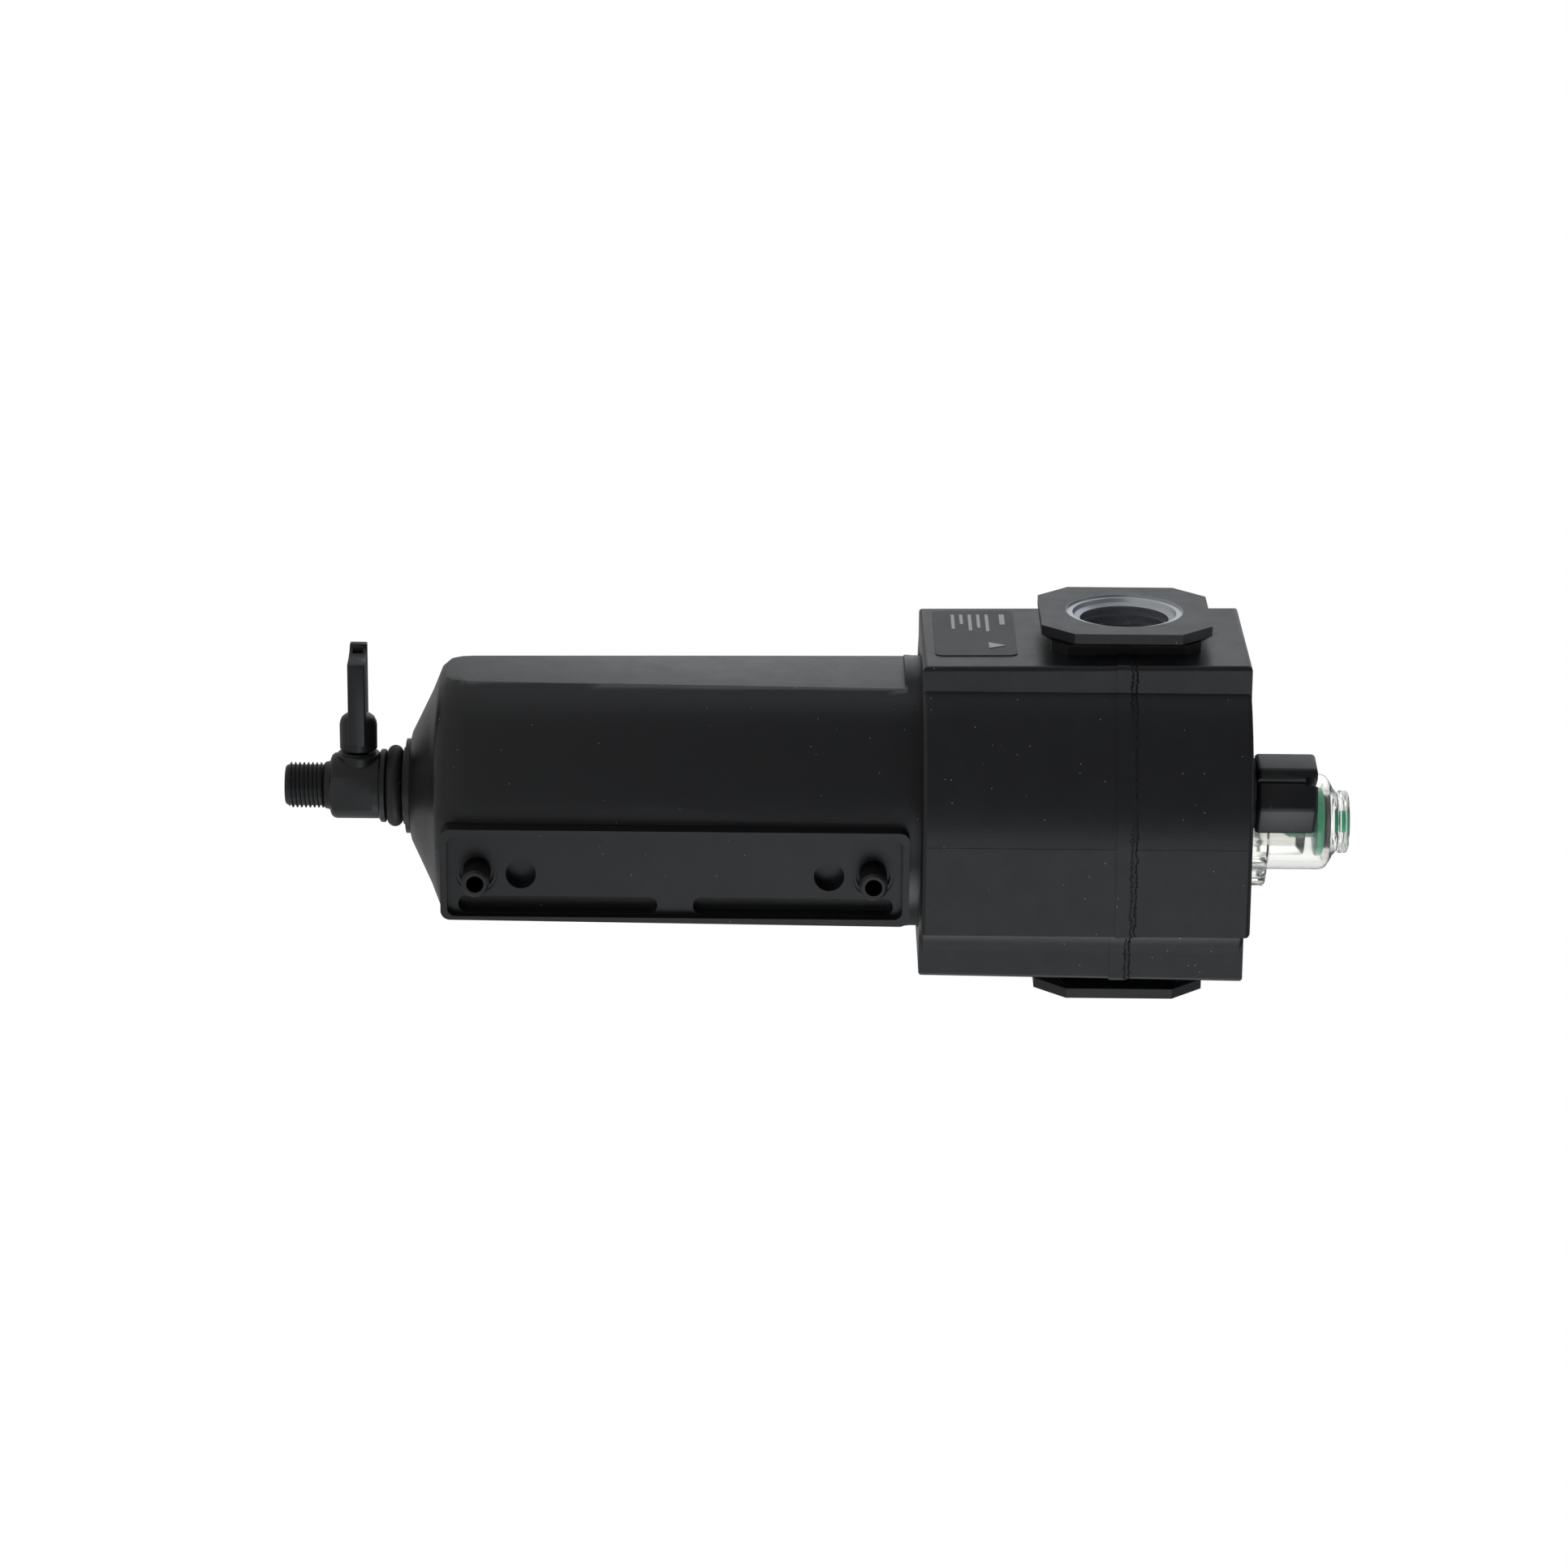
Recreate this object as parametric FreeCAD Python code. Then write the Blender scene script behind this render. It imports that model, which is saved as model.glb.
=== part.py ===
import FreeCAD, Part
import math
import os

from FreeCAD import Vector

# In-line compressed air line lubricator: a die-cast head with two pipe ports, a sight dome and a
# fill plug on top, and a metal bowl with a level gauge seat and a quarter-turn drain underneath.
# Millimetres. +Z runs up the bowl's axis, -X is the inlet side, +X the outlet side, -Y the front.
# The origin is where the port axis crosses the bowl's axis.

# ---- head ----
port_to_port = 80.0
head_half_width = 33.85          # outer faces of the two end blocks, at the casting's lower end
head_width_draft = 0.75          # how much further out each face is at the top
head_core_half_width = 29.5
head_top = 25.5
head_bottom = -42.5
end_block_half_depth = 22.1
front_arc_radius = 34.3
front_arc_centre_y = -3.3
head_front_y = front_arc_centre_y - front_arc_radius
front_flat_end_x = 19.3          # the front face's crisp edge on the outlet side
cove_radius = 9.1                # hollow between that edge and the outlet end block
head_edge_round = 1.0
parting_rib = (0.45, 0.3, 0.12)  # place, width and height of the die's parting line on the front
flash_strip = (-2.5, 1.2)        # rough witness strip round the casting
flash_height = 0.25

# ---- port flanges and pipe threads (1/2 inch pipe, 14 turns to the inch) ----
flange_across_flats = 35.5
flange_corner_cut = 6.6
flange_rim = 2.1
neck_size = (27.0, 31.0)         # depth (Y) and height (Z) of the neck behind each flange
neck_corner_cut = 3.2
neck_end_x = 36.4
mouth_ring_radius = 12.2
mouth_ring_depth = 0.4
mouth_bevel_start_radius = 10.9
port_major_radius = 10.48
port_minor_radius = 9.32
port_pitch = 25.4 / 14.0
port_first_land_x = 38.3
port_turns = 7
port_drill_length = 5.0          # plain bore behind the thread
passage_radius = 8.0

# ---- bowl socket under the head: a three-lug bayonet ----
skirt_bore_radius = 29.0
lug_count = 3
lug_radius = 30.5
lug_groove_radius = 30.9
lug_z = (-36.0, -31.6)
lug_groove_z = (-36.4, -31.2)
lug_half_angle = 15.0
lug_slot_half_angle = 18.0
bowl_turn_angle = 45.0
socket_bore_radius = 26.8
socket_roof_z = -20.0

# ---- bowl ----
bowl_top_radius = 28.7
bowl_low_radius = 27.7
bowl_shoulder_z = -45.0
bowl_straight_end_z = -137.0
bowl_collar_radius = 28.6
bowl_spigot_radius = 26.4
bowl_rim_z = -21.0
bowl_bore_radius = 23.9
bowl_floor_z = -145.6
bowl_cone = ((27.1, -141.4), (25.6, -143.2), (20.6, -145.2), (11.7, -149.5))
bowl_boss_radius = 10.05
bowl_boss_z = -150.8
bowl_flat_x = -26.1
bowl_seal_z = -25.6
bowl_seal_ring = (25.6, 1.0)     # ring radius, cord radius

# ---- level gauge seat: a raised box on the bowl's front ----
seat_x = (-1.0, 18.65)
seat_draft = 0.7                 # how much further out the outlet side is at the top
seat_z = (-142.0, -44.9)
seat_front_y = -32.4
seat_corner_round = 2.0
seat_rim = 1.4
seat_floor_y = -30.0
spigot_x = 9.3
spigot_mid_z = -93.45
spigot_half_pitch = 41.1
spigot_outer_radius = 2.9
spigot_bore_radius = 1.8
spigot_tip_y = -37.0
spigot_foot_y = -24.4
spigot_counterbore_radius = 3.6
spigot_counterbore_depth = 1.5
seal_seat_radius = 4.3
seal_seat_depth = 0.4
dowel_half_pitch = 31.95
dowel_radius = 3.15
dowel_depth = 4.5
slot_x = (14.1, 17.7)
slot_spans = ((-138.4, -97.1), (-89.7, -48.2))
slot_depth = 3.2

# ---- quarter-turn drain ----
grommet_z = -153.25
grommet_ring = (7.0, 1.65)
washer_z = (-151.35, -150.8)
washer_radius = 8.2
drain_flange_radius = 7.8
drain_flange_z = (-156.3, -155.1)
drain_body_radius = 7.0
drain_body_bottom_z = -166.9
drain_neck_radius = 5.1
drain_neck_z = -168.4
drain_flat_y = 5.9               # half the distance over the two wrench flats
drain_stud_radius = 5.4
drain_waist_radius = 4.6         # the body's waist, where the washer and grommet sit
drain_stud_top_z = -139.6
drain_bore_radius = 1.7
outlet_thread_radius = 4.86
outlet_thread_pitch = 0.907
outlet_thread_turns = 8
outlet_tip_z = -176.5
drain_nut_z = (-145.5, -141.6)
drain_nut_across_flats = 14.0
stem_z = -160.95
stem_radius = 2.6
stem_hub_radius = 4.0
stem_hub_x = (-14.2, -8.1)
stem_end_x = 4.4
wing_thickness = 3.7
wing_half_width = 5.0
wing_x = (-30.3, -11.5)
wing_step = 3.4                  # the stepped corner on the wing's front edge
wing_step_x = -27.9

# ---- fill plug ----
plug_x = -4.9
plug_y = -15.1
plug_knob_z = (27.3, 40.0)
plug_corner_radius = 8.6
plug_corner_turn = 276.5         # direction of one corner, degrees from +X
plug_flute_turn = 233.0
plug_flute_radius = 1.3
plug_slot = (1.8, 2.6)           # width and depth of the screwdriver slot
plug_shank_radius = 5.4
plug_thread_pitch = 1.5
plug_thread_turns = 6
plug_bore_floor_z = 13.0
plug_seal_ring = (6.9, 0.88)
plug_neck_radius = 6.0
fill_passage_radius = 2.6         # from the plug's bore down into the bowl
fill_passage_y = -17.6

# ---- sight dome, adjuster and drip tube ----
dome_x = 7.6
dome_y = 4.4
dome_flange_radius = 13.9
dome_flange_z = 31.2
dome_lug_count = 8
dome_lug_notch = 3.4
dome_radius = 10.2
dome_wall = 1.3
dome_shoulder_z = 44.0
dome_neck_radius = 6.2
dome_neck_z = 46.3
dome_knob_radius = 6.7
dome_top_z = 49.0
dome_socket_z = 17.0
dome_ceiling_z = 44.9
dome_seal_ring = (11.08, 0.8)
dome_seal_groove = (11.95, 1.7)  # radius and depth of its seat in the head
adjuster_stem_radius = 2.35
adjuster_disc_radius = 7.3
adjuster_disc_z = (41.8, 43.5)
adjuster_seal_ring = (5.2, 0.6)
drip_tube_radius = 7.1
drip_tube_bore = 4.2
drip_tube_z = (18.0, 39.5)
drip_hole_radius = 1.2           # from the dome's socket down into the air passage

# ---- air passage: flow guide with a hinged vane ----
guide_x = (-6.0, -1.5)
guide_bore_radius = 6.6
vane_pin_z = 5.0
vane_pin_radius = 0.6
vane_radius = 6.1
vane_thickness = 1.0
vane_x = 0.4

# ---- oil pick-up ----
siphon_x = 6.0
siphon_y = 13.2
siphon_riser_radius = 1.6
siphon_tube_radius = 2.5
siphon_tube_bore = 1.5
siphon_tube_z = (-131.0, -30.0)
siphon_adapter_z = (-32.0, -20.0)
siphon_ball_radius = 1.5
siphon_adapter_radius = 4.2
siphon_ball_floor_z = -27.0      # where the adapter's ball room ends in its cone seat
strainer_z = (-137.5, -128.0)
strainer_radius = 4.2

# ---- bowl charging check ----
charge_x = -12.0
charge_y = 6.0
charge_ball_radius = 1.5
charge_hole_radius = 0.9         # from the air passage down to the check
charge_seat_radius = 3.4
charge_seat_length = 6.0
charge_cage_floor = 0.8          # thickness under the ball

# ---- label ----
label_y = (-14.1, 19.0)
label_z = (-39.8, -22.7)
label_thickness = 0.2
label_corner = 1.8

Z_AXIS = Vector(0, 0, 1)


def cylinder(radius, z0, z1, x=0.0, y=0.0):
    """An upright round bar from z0 to z1."""
    return Part.makeCylinder(radius, z1 - z0, Vector(x, y, z0), Z_AXIS)


def bar_x(radius, x0, x1, y=0.0, z=0.0):
    """A round bar along X."""
    return Part.makeCylinder(radius, x1 - x0, Vector(x0, y, z), Vector(1, 0, 0))


def bar_y(radius, y0, y1, x=0.0, z=0.0):
    """A round bar along Y."""
    return Part.makeCylinder(radius, y1 - y0, Vector(x, y0, z), Vector(0, 1, 0))


def block(x, y, z):
    """A box between two values on each axis."""
    return Part.makeBox(x[1] - x[0], y[1] - y[0], z[1] - z[0], Vector(x[0], y[0], z[0]))


def turned(profile, x=0.0, y=0.0):
    """A solid of revolution about an upright axis, from (radius, z) points."""
    points = [Vector(r, 0, z) for r, z in profile]
    face = Part.Face(Part.makePolygon(points + [points[0]]))
    solid = face.revolve(Vector(0, 0, 0), Z_AXIS, 360)
    solid.translate(Vector(x, y, 0))
    return solid


def ring(ring_size, z, x=0.0, y=0.0):
    """A seal ring of round cord, from (ring radius, cord radius)."""
    return Part.makeTorus(ring_size[0], ring_size[1], Vector(x, y, z), Z_AXIS)


def extruded(corners, z0, z1):
    """A prism from a closed outline of (x, y) corners."""
    points = [Vector(x, y, z0) for x, y in corners]
    face = Part.Face(Part.makePolygon(points + [points[0]]))
    return face.extrude(Vector(0, 0, z1 - z0))


def regular_outline(sides, corner_radius, turn, x=0.0, y=0.0):
    """Corners of a regular polygon, the first one in the direction turn."""
    corners = []
    for number in range(sides):
        angle = math.radians(turn + 360.0 * number / sides)
        corners.append((x + corner_radius * math.cos(angle), y + corner_radius * math.sin(angle)))
    return corners


def thread_profile(crest, root, start, pitch, turns, inner):
    """(radius, z) points of ring grooves with a flat land between them, closed at radius inner."""
    land = 0.25 * pitch
    points = [(inner, start), (crest, start)]
    for turn in range(turns):
        low = start - turn * pitch
        points.append((crest, low - land))
        points.append((root, low - land - 0.33 * pitch))
        points.append((root, low - land - 0.42 * pitch))
        points.append((crest, low - pitch))
    end = start - turns * pitch
    points.append((crest, end - land))
    points.append((inner, end - land))
    return points


def along_x(solid, side):
    """Turn a solid made about Z so that its top points to +X (side 1) or -X (side -1)."""
    placed = solid.copy()
    placed.rotate(Vector(0, 0, 0), Vector(0, 1, 0), 90.0 * side)
    return placed


def head_outline():
    """The plan of the head's core: an arc on the inlet half, a flat and a cove on the outlet half."""
    side = head_core_half_width
    arc_y = front_arc_centre_y - math.sqrt(front_arc_radius ** 2 - side ** 2)
    depth = end_block_half_depth
    cove_x = front_flat_end_x + cove_radius
    cove_y = -depth - cove_radius
    cove_mid = Vector(cove_x - cove_radius * math.cos(math.pi / 4),
                      cove_y + cove_radius * math.sin(math.pi / 4), 0)
    front_mid = Vector(front_arc_radius * math.cos(math.radians(225.0)),
                       front_arc_centre_y + front_arc_radius * math.sin(math.radians(225.0)), 0)
    edges = [
        Part.LineSegment(Vector(-side, -arc_y, 0), Vector(-side, arc_y, 0)),
        Part.Arc(Vector(-side, arc_y, 0), front_mid, Vector(0, head_front_y, 0)),
        Part.LineSegment(Vector(0, head_front_y, 0), Vector(front_flat_end_x, head_front_y, 0)),
        Part.LineSegment(Vector(front_flat_end_x, head_front_y, 0), Vector(front_flat_end_x, cove_y, 0)),
        Part.Arc(Vector(front_flat_end_x, cove_y, 0), cove_mid, Vector(cove_x, -depth, 0)),
        Part.LineSegment(Vector(cove_x, -depth, 0), Vector(side, -depth, 0)),
        Part.LineSegment(Vector(side, -depth, 0), Vector(side, -arc_y, 0)),
        Part.Arc(Vector(side, -arc_y, 0), Vector(0, -head_front_y, 0), Vector(-side, -arc_y, 0)),
    ]
    return Part.Wire([edge.toShape() for edge in edges])


def end_block(side):
    """One end block of the head, its outer face leaning out by the casting's draft."""
    low_x = side * head_half_width
    high_x = side * (head_half_width + head_width_draft)
    inner_x = side * 20.0
    depth = end_block_half_depth
    points = [Vector(inner_x, -depth, head_bottom), Vector(low_x, -depth, head_bottom),
              Vector(high_x, -depth, head_top), Vector(inner_x, -depth, head_top)]
    solid = Part.Face(Part.makePolygon(points + [points[0]])).extrude(Vector(0, 2.0 * depth, 0))
    outer = [e for e in solid.Edges if side * e.CenterOfMass.x > head_half_width - 0.1]
    return solid.makeFillet(head_edge_round, outer)


def octagon(depth, height, cut, x):
    """An upright eight-sided wire across X: a depth by height rectangle with its corners cut."""
    a = depth / 2.0
    b = height / 2.0
    corners = [(a, cut - b), (a, b - cut), (a - cut, b), (cut - a, b),
               (-a, b - cut), (-a, cut - b), (cut - a, -b), (a - cut, -b)]
    points = [Vector(x, y, z) for y, z in corners]
    return Part.makePolygon(points + [points[0]])


def end_block_strip(side):
    """The flash strip's stretch across one end block's outer face."""
    reach = head_half_width + 0.6 * head_width_draft + flash_height
    near, far = sorted((side * 25.0, side * reach))
    depth = end_block_half_depth + flash_height
    solid = block((near, far), (-depth, depth), flash_strip)
    corners = [e for e in solid.Edges if e.BoundBox.ZLength > 1.0 and side * e.CenterOfMass.x > 30.0]
    return solid.makeFillet(head_edge_round, corners)


def port_flange(side):
    """One octagonal clamp flange and its neck, on the end block of the given side."""
    flats = flange_across_flats
    face_x = side * port_to_port / 2.0
    rim_x = face_x - side * flange_rim
    neck_x = side * neck_end_x
    root_x = side * (head_half_width - 1.0)
    neck_start = octagon(neck_size[0], neck_size[1], neck_corner_cut, root_x)
    neck = Part.Face(neck_start).extrude(Vector(neck_x - root_x, 0, 0))
    taper = Part.makeLoft([octagon(neck_size[0], neck_size[1], neck_corner_cut, neck_x),
                           octagon(flats, flats, flange_corner_cut, rim_x)], True, True)
    rim = Part.Face(octagon(flats, flats, flange_corner_cut, rim_x)).extrude(Vector(face_x - rim_x, 0, 0))
    return neck.fuse([taper, rim]).removeSplitter()


def port_cutter(side):
    """The mouth ring, bevel, thread and plain passage of one port, made about Z and laid along X."""
    face = port_to_port / 2.0
    profile = [(0.0, face + 1.0), (mouth_ring_radius, face + 1.0),
               (mouth_ring_radius, face - mouth_ring_depth),
               (mouth_bevel_start_radius, face - mouth_ring_depth),
               (port_major_radius, port_first_land_x + 0.5)]
    thread = thread_profile(port_minor_radius, port_major_radius, port_first_land_x,
                            port_pitch, port_turns, 0.0)
    drill_end = port_first_land_x - port_turns * port_pitch - port_drill_length
    profile += thread[1:-2]
    profile += [(port_minor_radius, drill_end), (passage_radius, drill_end - 1.5),
                (passage_radius, -0.5), (0.0, -0.5)]
    return along_x(turned(profile), side)


def sector(radius, half_angle, turn, z0, z1):
    """A wedge of a disc, half_angle to each side of the direction turn."""
    wedge = Part.makeCylinder(radius, z1 - z0, Vector(0, 0, z0), Z_AXIS, 2.0 * half_angle)
    wedge.rotate(Vector(0, 0, 0), Z_AXIS, turn - half_angle)
    return wedge


def lug_directions():
    """The directions of the bayonet lugs, in degrees from +X."""
    return [90.0 + 360.0 * number / lug_count for number in range(lug_count)]


def make_head():
    """The casting: body, flanges, flash strip, bowl socket, ports and the drilled passages."""
    plan = Part.Face(head_outline())
    plan.translate(Vector(0, 0, head_bottom))
    body = plan.extrude(Vector(0, 0, head_top - head_bottom))
    rims = [e for e in body.Edges if e.BoundBox.ZLength < 0.01
            and abs(e.CenterOfMass.x) < head_core_half_width - 0.1]
    body = body.makeFillet(head_edge_round, rims)
    strip = Part.Face(head_outline().makeOffset2D(flash_height))
    strip.translate(Vector(0, 0, flash_strip[0]))
    parts = [strip.extrude(Vector(0, 0, flash_strip[1] - flash_strip[0]))]
    for side in (-1, 1):
        parts.append(end_block(side))
        parts.append(end_block_strip(side))
        parts.append(port_flange(side))
    rib_x, rib_width, rib_height = parting_rib
    parts.append(block((rib_x - rib_width / 2.0, rib_x + rib_width / 2.0),
                       (head_front_y - rib_height, head_front_y + 1.0),
                       (head_bottom + head_edge_round, head_top - head_edge_round)))
    body = body.fuse(parts)

    socket = turned([(0.0, head_bottom - 1.0), (skirt_bore_radius, head_bottom - 1.0),
                     (skirt_bore_radius, lug_groove_z[0]), (lug_groove_radius, lug_groove_z[0]),
                     (lug_groove_radius, lug_groove_z[1]), (socket_bore_radius, lug_groove_z[1]),
                     (socket_bore_radius, socket_roof_z), (0.0, socket_roof_z)])
    cutters = [socket, port_cutter(-1), port_cutter(1)]
    for turn in lug_directions():
        cutters.append(sector(lug_groove_radius, lug_slot_half_angle, turn + bowl_turn_angle,
                              head_bottom - 1.0, lug_groove_z[0] + 0.5))
    cutters.append(cylinder(plug_shank_radius, plug_bore_floor_z, head_top + 1.0, plug_x, plug_y))
    cutters.append(cylinder(fill_passage_radius, socket_roof_z - 1.0, plug_bore_floor_z + 1.0,
                            plug_x, fill_passage_y))
    cutters.append(cylinder(dome_radius + 0.15, dome_socket_z, head_top + 1.0, dome_x, dome_y))
    cutters.append(cylinder(dome_seal_groove[0], head_top - dome_seal_groove[1], head_top + 1.0,
                            dome_x, dome_y))
    cutters.append(cylinder(drip_hole_radius, 0.0, dome_socket_z + 1.0, dome_x, 0.0))
    cutters.append(cylinder(siphon_riser_radius, socket_roof_z - 1.0, dome_socket_z + 1.0,
                            siphon_x, siphon_y))
    cutters.append(cylinder(charge_hole_radius, socket_roof_z - 1.0, 0.0, charge_x, charge_y))
    return body.cut(cutters).removeSplitter()


def make_bowl():
    """The bowl: a drafted cup with bayonet lugs, a flat on the inlet side and the gauge seat."""
    outside = turned([(0.0, bowl_rim_z), (bowl_spigot_radius - 0.6, bowl_rim_z),
                      (bowl_spigot_radius, bowl_rim_z - 0.6), (bowl_spigot_radius, lug_z[1]),
                      (bowl_spigot_radius, lug_z[0]), (bowl_collar_radius, lug_z[0] - 0.4),
                      (bowl_collar_radius, bowl_shoulder_z + 0.8), (bowl_top_radius, bowl_shoulder_z),
                      (bowl_low_radius, bowl_straight_end_z), (bowl_low_radius - 0.15, -139.4),
                      *bowl_cone, (bowl_boss_radius, -149.9), (bowl_boss_radius, bowl_boss_z),
                      (0.0, bowl_boss_z)])
    flat = block((-40.0, bowl_flat_x), (-20.0, 20.0), (-150.0, bowl_shoulder_z - 0.9))
    corners = [Vector(seat_x[0], -5.0, seat_z[0]), Vector(seat_x[1], -5.0, seat_z[0]),
               Vector(seat_x[1] + seat_draft, -5.0, seat_z[1]), Vector(seat_x[0], -5.0, seat_z[1])]
    seat = Part.Face(Part.makePolygon(corners + [corners[0]])).extrude(Vector(0, seat_front_y + 5.0, 0))
    seat = seat.makeFillet(seat_corner_round, [e for e in seat.Edges if e.BoundBox.YLength > 1.0])
    body = outside.cut(flat).fuse(seat)
    for turn in lug_directions():
        lug = sector(lug_radius, lug_half_angle, turn, lug_z[0], lug_z[1])
        body = body.fuse(lug)

    cavity = turned([(0.0, bowl_rim_z + 1.0), (bowl_bore_radius, bowl_rim_z + 1.0),
                     (bowl_bore_radius, -138.0), (bowl_bore_radius - 3.0, -141.5),
                     (11.0, bowl_floor_z), (0.0, bowl_floor_z)])
    groove = ring_groove(bowl_seal_ring, bowl_spigot_radius, bowl_seal_z)
    cutters = [cavity, groove]
    cutters.append(cylinder(drain_stud_radius + 0.1, bowl_boss_z - 1.0, bowl_floor_z + 1.0))
    inner_x = (seat_x[0] + seat_rim, seat_x[1] - seat_rim + 0.6)
    inner_z = (seat_z[0] + seat_rim, seat_z[1] - seat_rim)
    cutters.append(pocket(inner_x, inner_z, seat_floor_y))
    for low, high in slot_spans:
        cutters.append(pocket(slot_x, (low, high), seat_floor_y + slot_depth))
    for side in (-1, 1):
        spigot_z = spigot_mid_z + side * spigot_half_pitch
        dowel_z = spigot_mid_z + side * dowel_half_pitch
        seat_floor = seat_floor_y + seal_seat_depth
        cutters.append(bar_y(seal_seat_radius, seat_front_y, seat_floor, spigot_x, spigot_z))
        cutters.append(bar_y(spigot_counterbore_radius, seat_front_y,
                             seat_floor + spigot_counterbore_depth, spigot_x, spigot_z))
        cutters.append(bar_y(spigot_outer_radius, seat_front_y, spigot_foot_y, spigot_x, spigot_z))
        cutters.append(bar_y(spigot_bore_radius, seat_front_y, -15.0, spigot_x, spigot_z))
        cutters.append(bar_y(dowel_radius, seat_front_y, seat_floor_y + dowel_depth, spigot_x, dowel_z))
    return body.cut(cutters).removeSplitter()


def ring_groove(ring_size, outer, z):
    """A square groove in a spigot of radius outer, for a ring of round cord."""
    floor = ring_size[0] - ring_size[1]
    half = ring_size[1] * 1.15
    return turned([(floor, z - half), (outer + 1.0, z - half), (outer + 1.0, z + half), (floor, z + half)])


def pocket(x, z, floor_y):
    """A round-cornered pocket cut from the gauge seat's front down to floor_y."""
    body = block(x, (seat_front_y - 1.0, floor_y), z)
    radius = min(1.7, (x[1] - x[0]) / 2.0 - 0.05)
    return body.makeFillet(radius, [e for e in body.Edges if e.BoundBox.YLength > 1.0])


def make_spigot(side):
    """One hollow gauge spigot, pressed into the bowl wall, with a chamfered tip."""
    z = spigot_mid_z + side * spigot_half_pitch
    length = spigot_foot_y - spigot_tip_y
    tube = turned([(spigot_bore_radius, 0.0), (spigot_outer_radius, 0.0),
                   (spigot_outer_radius, length - 0.5), (spigot_outer_radius - 0.5, length),
                   (spigot_bore_radius, length)])
    tube.rotate(Vector(0, 0, 0), Vector(1, 0, 0), 90.0)
    tube.translate(Vector(spigot_x, spigot_foot_y, z))
    return tube


def make_drain_body():
    """The drain's fixed body: stud, flange, flatted barrel, neck and threaded outlet."""
    thread = thread_profile(outlet_thread_radius, outlet_thread_radius - 0.55, drain_neck_z - 0.2,
                            outlet_thread_pitch, outlet_thread_turns, 0.0)
    outside = [(0.0, drain_stud_top_z), (drain_stud_radius - 0.5, drain_stud_top_z),
               (drain_stud_radius, drain_stud_top_z - 0.5), (drain_stud_radius, washer_z[0]),
               (drain_waist_radius, washer_z[0] - 0.2), (drain_waist_radius, drain_flange_z[1]),
               (drain_flange_radius, drain_flange_z[1]), (drain_flange_radius, drain_flange_z[0]),
               (drain_body_radius, drain_flange_z[0] - 0.3),
               (drain_body_radius, drain_body_bottom_z + 1.2),
               (drain_body_radius - 1.0, drain_body_bottom_z), (drain_neck_radius, drain_body_bottom_z),
               (drain_neck_radius, drain_neck_z), (outlet_thread_radius, drain_neck_z - 0.2)]
    outside += thread[2:-1]
    outside += [(outlet_thread_radius - 0.5, outlet_tip_z), (0.0, outlet_tip_z)]
    body = turned(outside)
    cutters = [cylinder(drain_bore_radius, outlet_tip_z - 1.0, drain_stud_top_z + 1.0)]
    flat_z = (drain_body_bottom_z - 0.5, drain_flange_z[0] - 1.6)
    for side in (-1, 1):
        near = side * drain_flat_y
        far = side * 9.0
        cutters.append(block((-9.0, 9.0), (min(near, far), max(near, far)), flat_z))
    boss = bar_x(stem_hub_radius + 0.5, stem_hub_x[1] + 0.3, -5.0, 0.0, stem_z)
    body = body.cut(cutters).fuse(boss)
    return body.cut(bar_x(stem_radius + 0.06, -9.0, stem_end_x + 0.4, 0.0, stem_z)).removeSplitter()


def make_drain_handle():
    """The drain's turning plug: a cross-drilled stem, a round hub and a flat wing with a stepped corner."""
    stem = bar_x(stem_radius, stem_hub_x[1] - 0.5, stem_end_x, 0.0, stem_z)
    hub = bar_x(stem_hub_radius, stem_hub_x[0], stem_hub_x[1], 0.0, stem_z)
    dome = Part.makeSphere(stem_hub_radius, Vector(0, 0, 0))
    squash = FreeCAD.Matrix()
    squash.scale(0.45, 1.0, 1.0)
    dome = dome.transformGeometry(squash)
    dome.translate(Vector(stem_hub_x[0], 0, stem_z))
    half = wing_thickness / 2.0
    wing = block(wing_x, (-wing_half_width, wing_half_width), (stem_z - half, stem_z + half))
    wing = wing.makeFillet(1.2, [e for e in wing.Edges if e.BoundBox.ZLength > 1.0])
    step = block((wing_x[0] - 1.0, wing_step_x), (-wing_half_width - 1.0, wing_step - wing_half_width),
                 (stem_z - half - 1.0, stem_z + half + 1.0))
    wing = wing.cut(step)
    for groove in ring_grooves_on_stem():
        stem = stem.cut(groove)
    drilled = cylinder(drain_bore_radius, stem_z - 4.0, stem_z + 4.0)
    drilled.rotate(Vector(0, 0, stem_z), Vector(1, 0, 0), 90.0)
    return hub.fuse([stem, dome, wing]).cut(drilled).removeSplitter()


def stem_seal_places():
    """Where the two stem seals sit along X, one each side of the cross hole."""
    return (-4.6, 3.2)


def ring_grooves_on_stem():
    """Two square grooves in the stem, one each side of its cross hole."""
    grooves = []
    for x in stem_seal_places():
        outer = bar_x(stem_radius + 1.0, x - 0.65, x + 0.65, 0.0, stem_z)
        grooves.append(outer.cut(bar_x(stem_radius - 1.0, x - 0.65, x + 0.65, 0.0, stem_z)))
    return grooves


def make_stem_seals():
    """The two small seal rings on the drain's stem."""
    rings = []
    for x in stem_seal_places():
        rings.append(Part.makeTorus(stem_radius - 0.48, 0.5, Vector(x, 0, stem_z), Vector(1, 0, 0)))
    return Part.makeCompound(rings)


def make_drain_nut():
    """The six-sided nut on the drain's stud, inside the bowl."""
    corner = drain_nut_across_flats / 2.0 / math.cos(math.pi / 6)
    nut = extruded(regular_outline(6, corner, 0.0), drain_nut_z[0], drain_nut_z[1])
    return nut.cut(cylinder(drain_stud_radius + 0.05, drain_nut_z[0] - 1, drain_nut_z[1] + 1))


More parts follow.
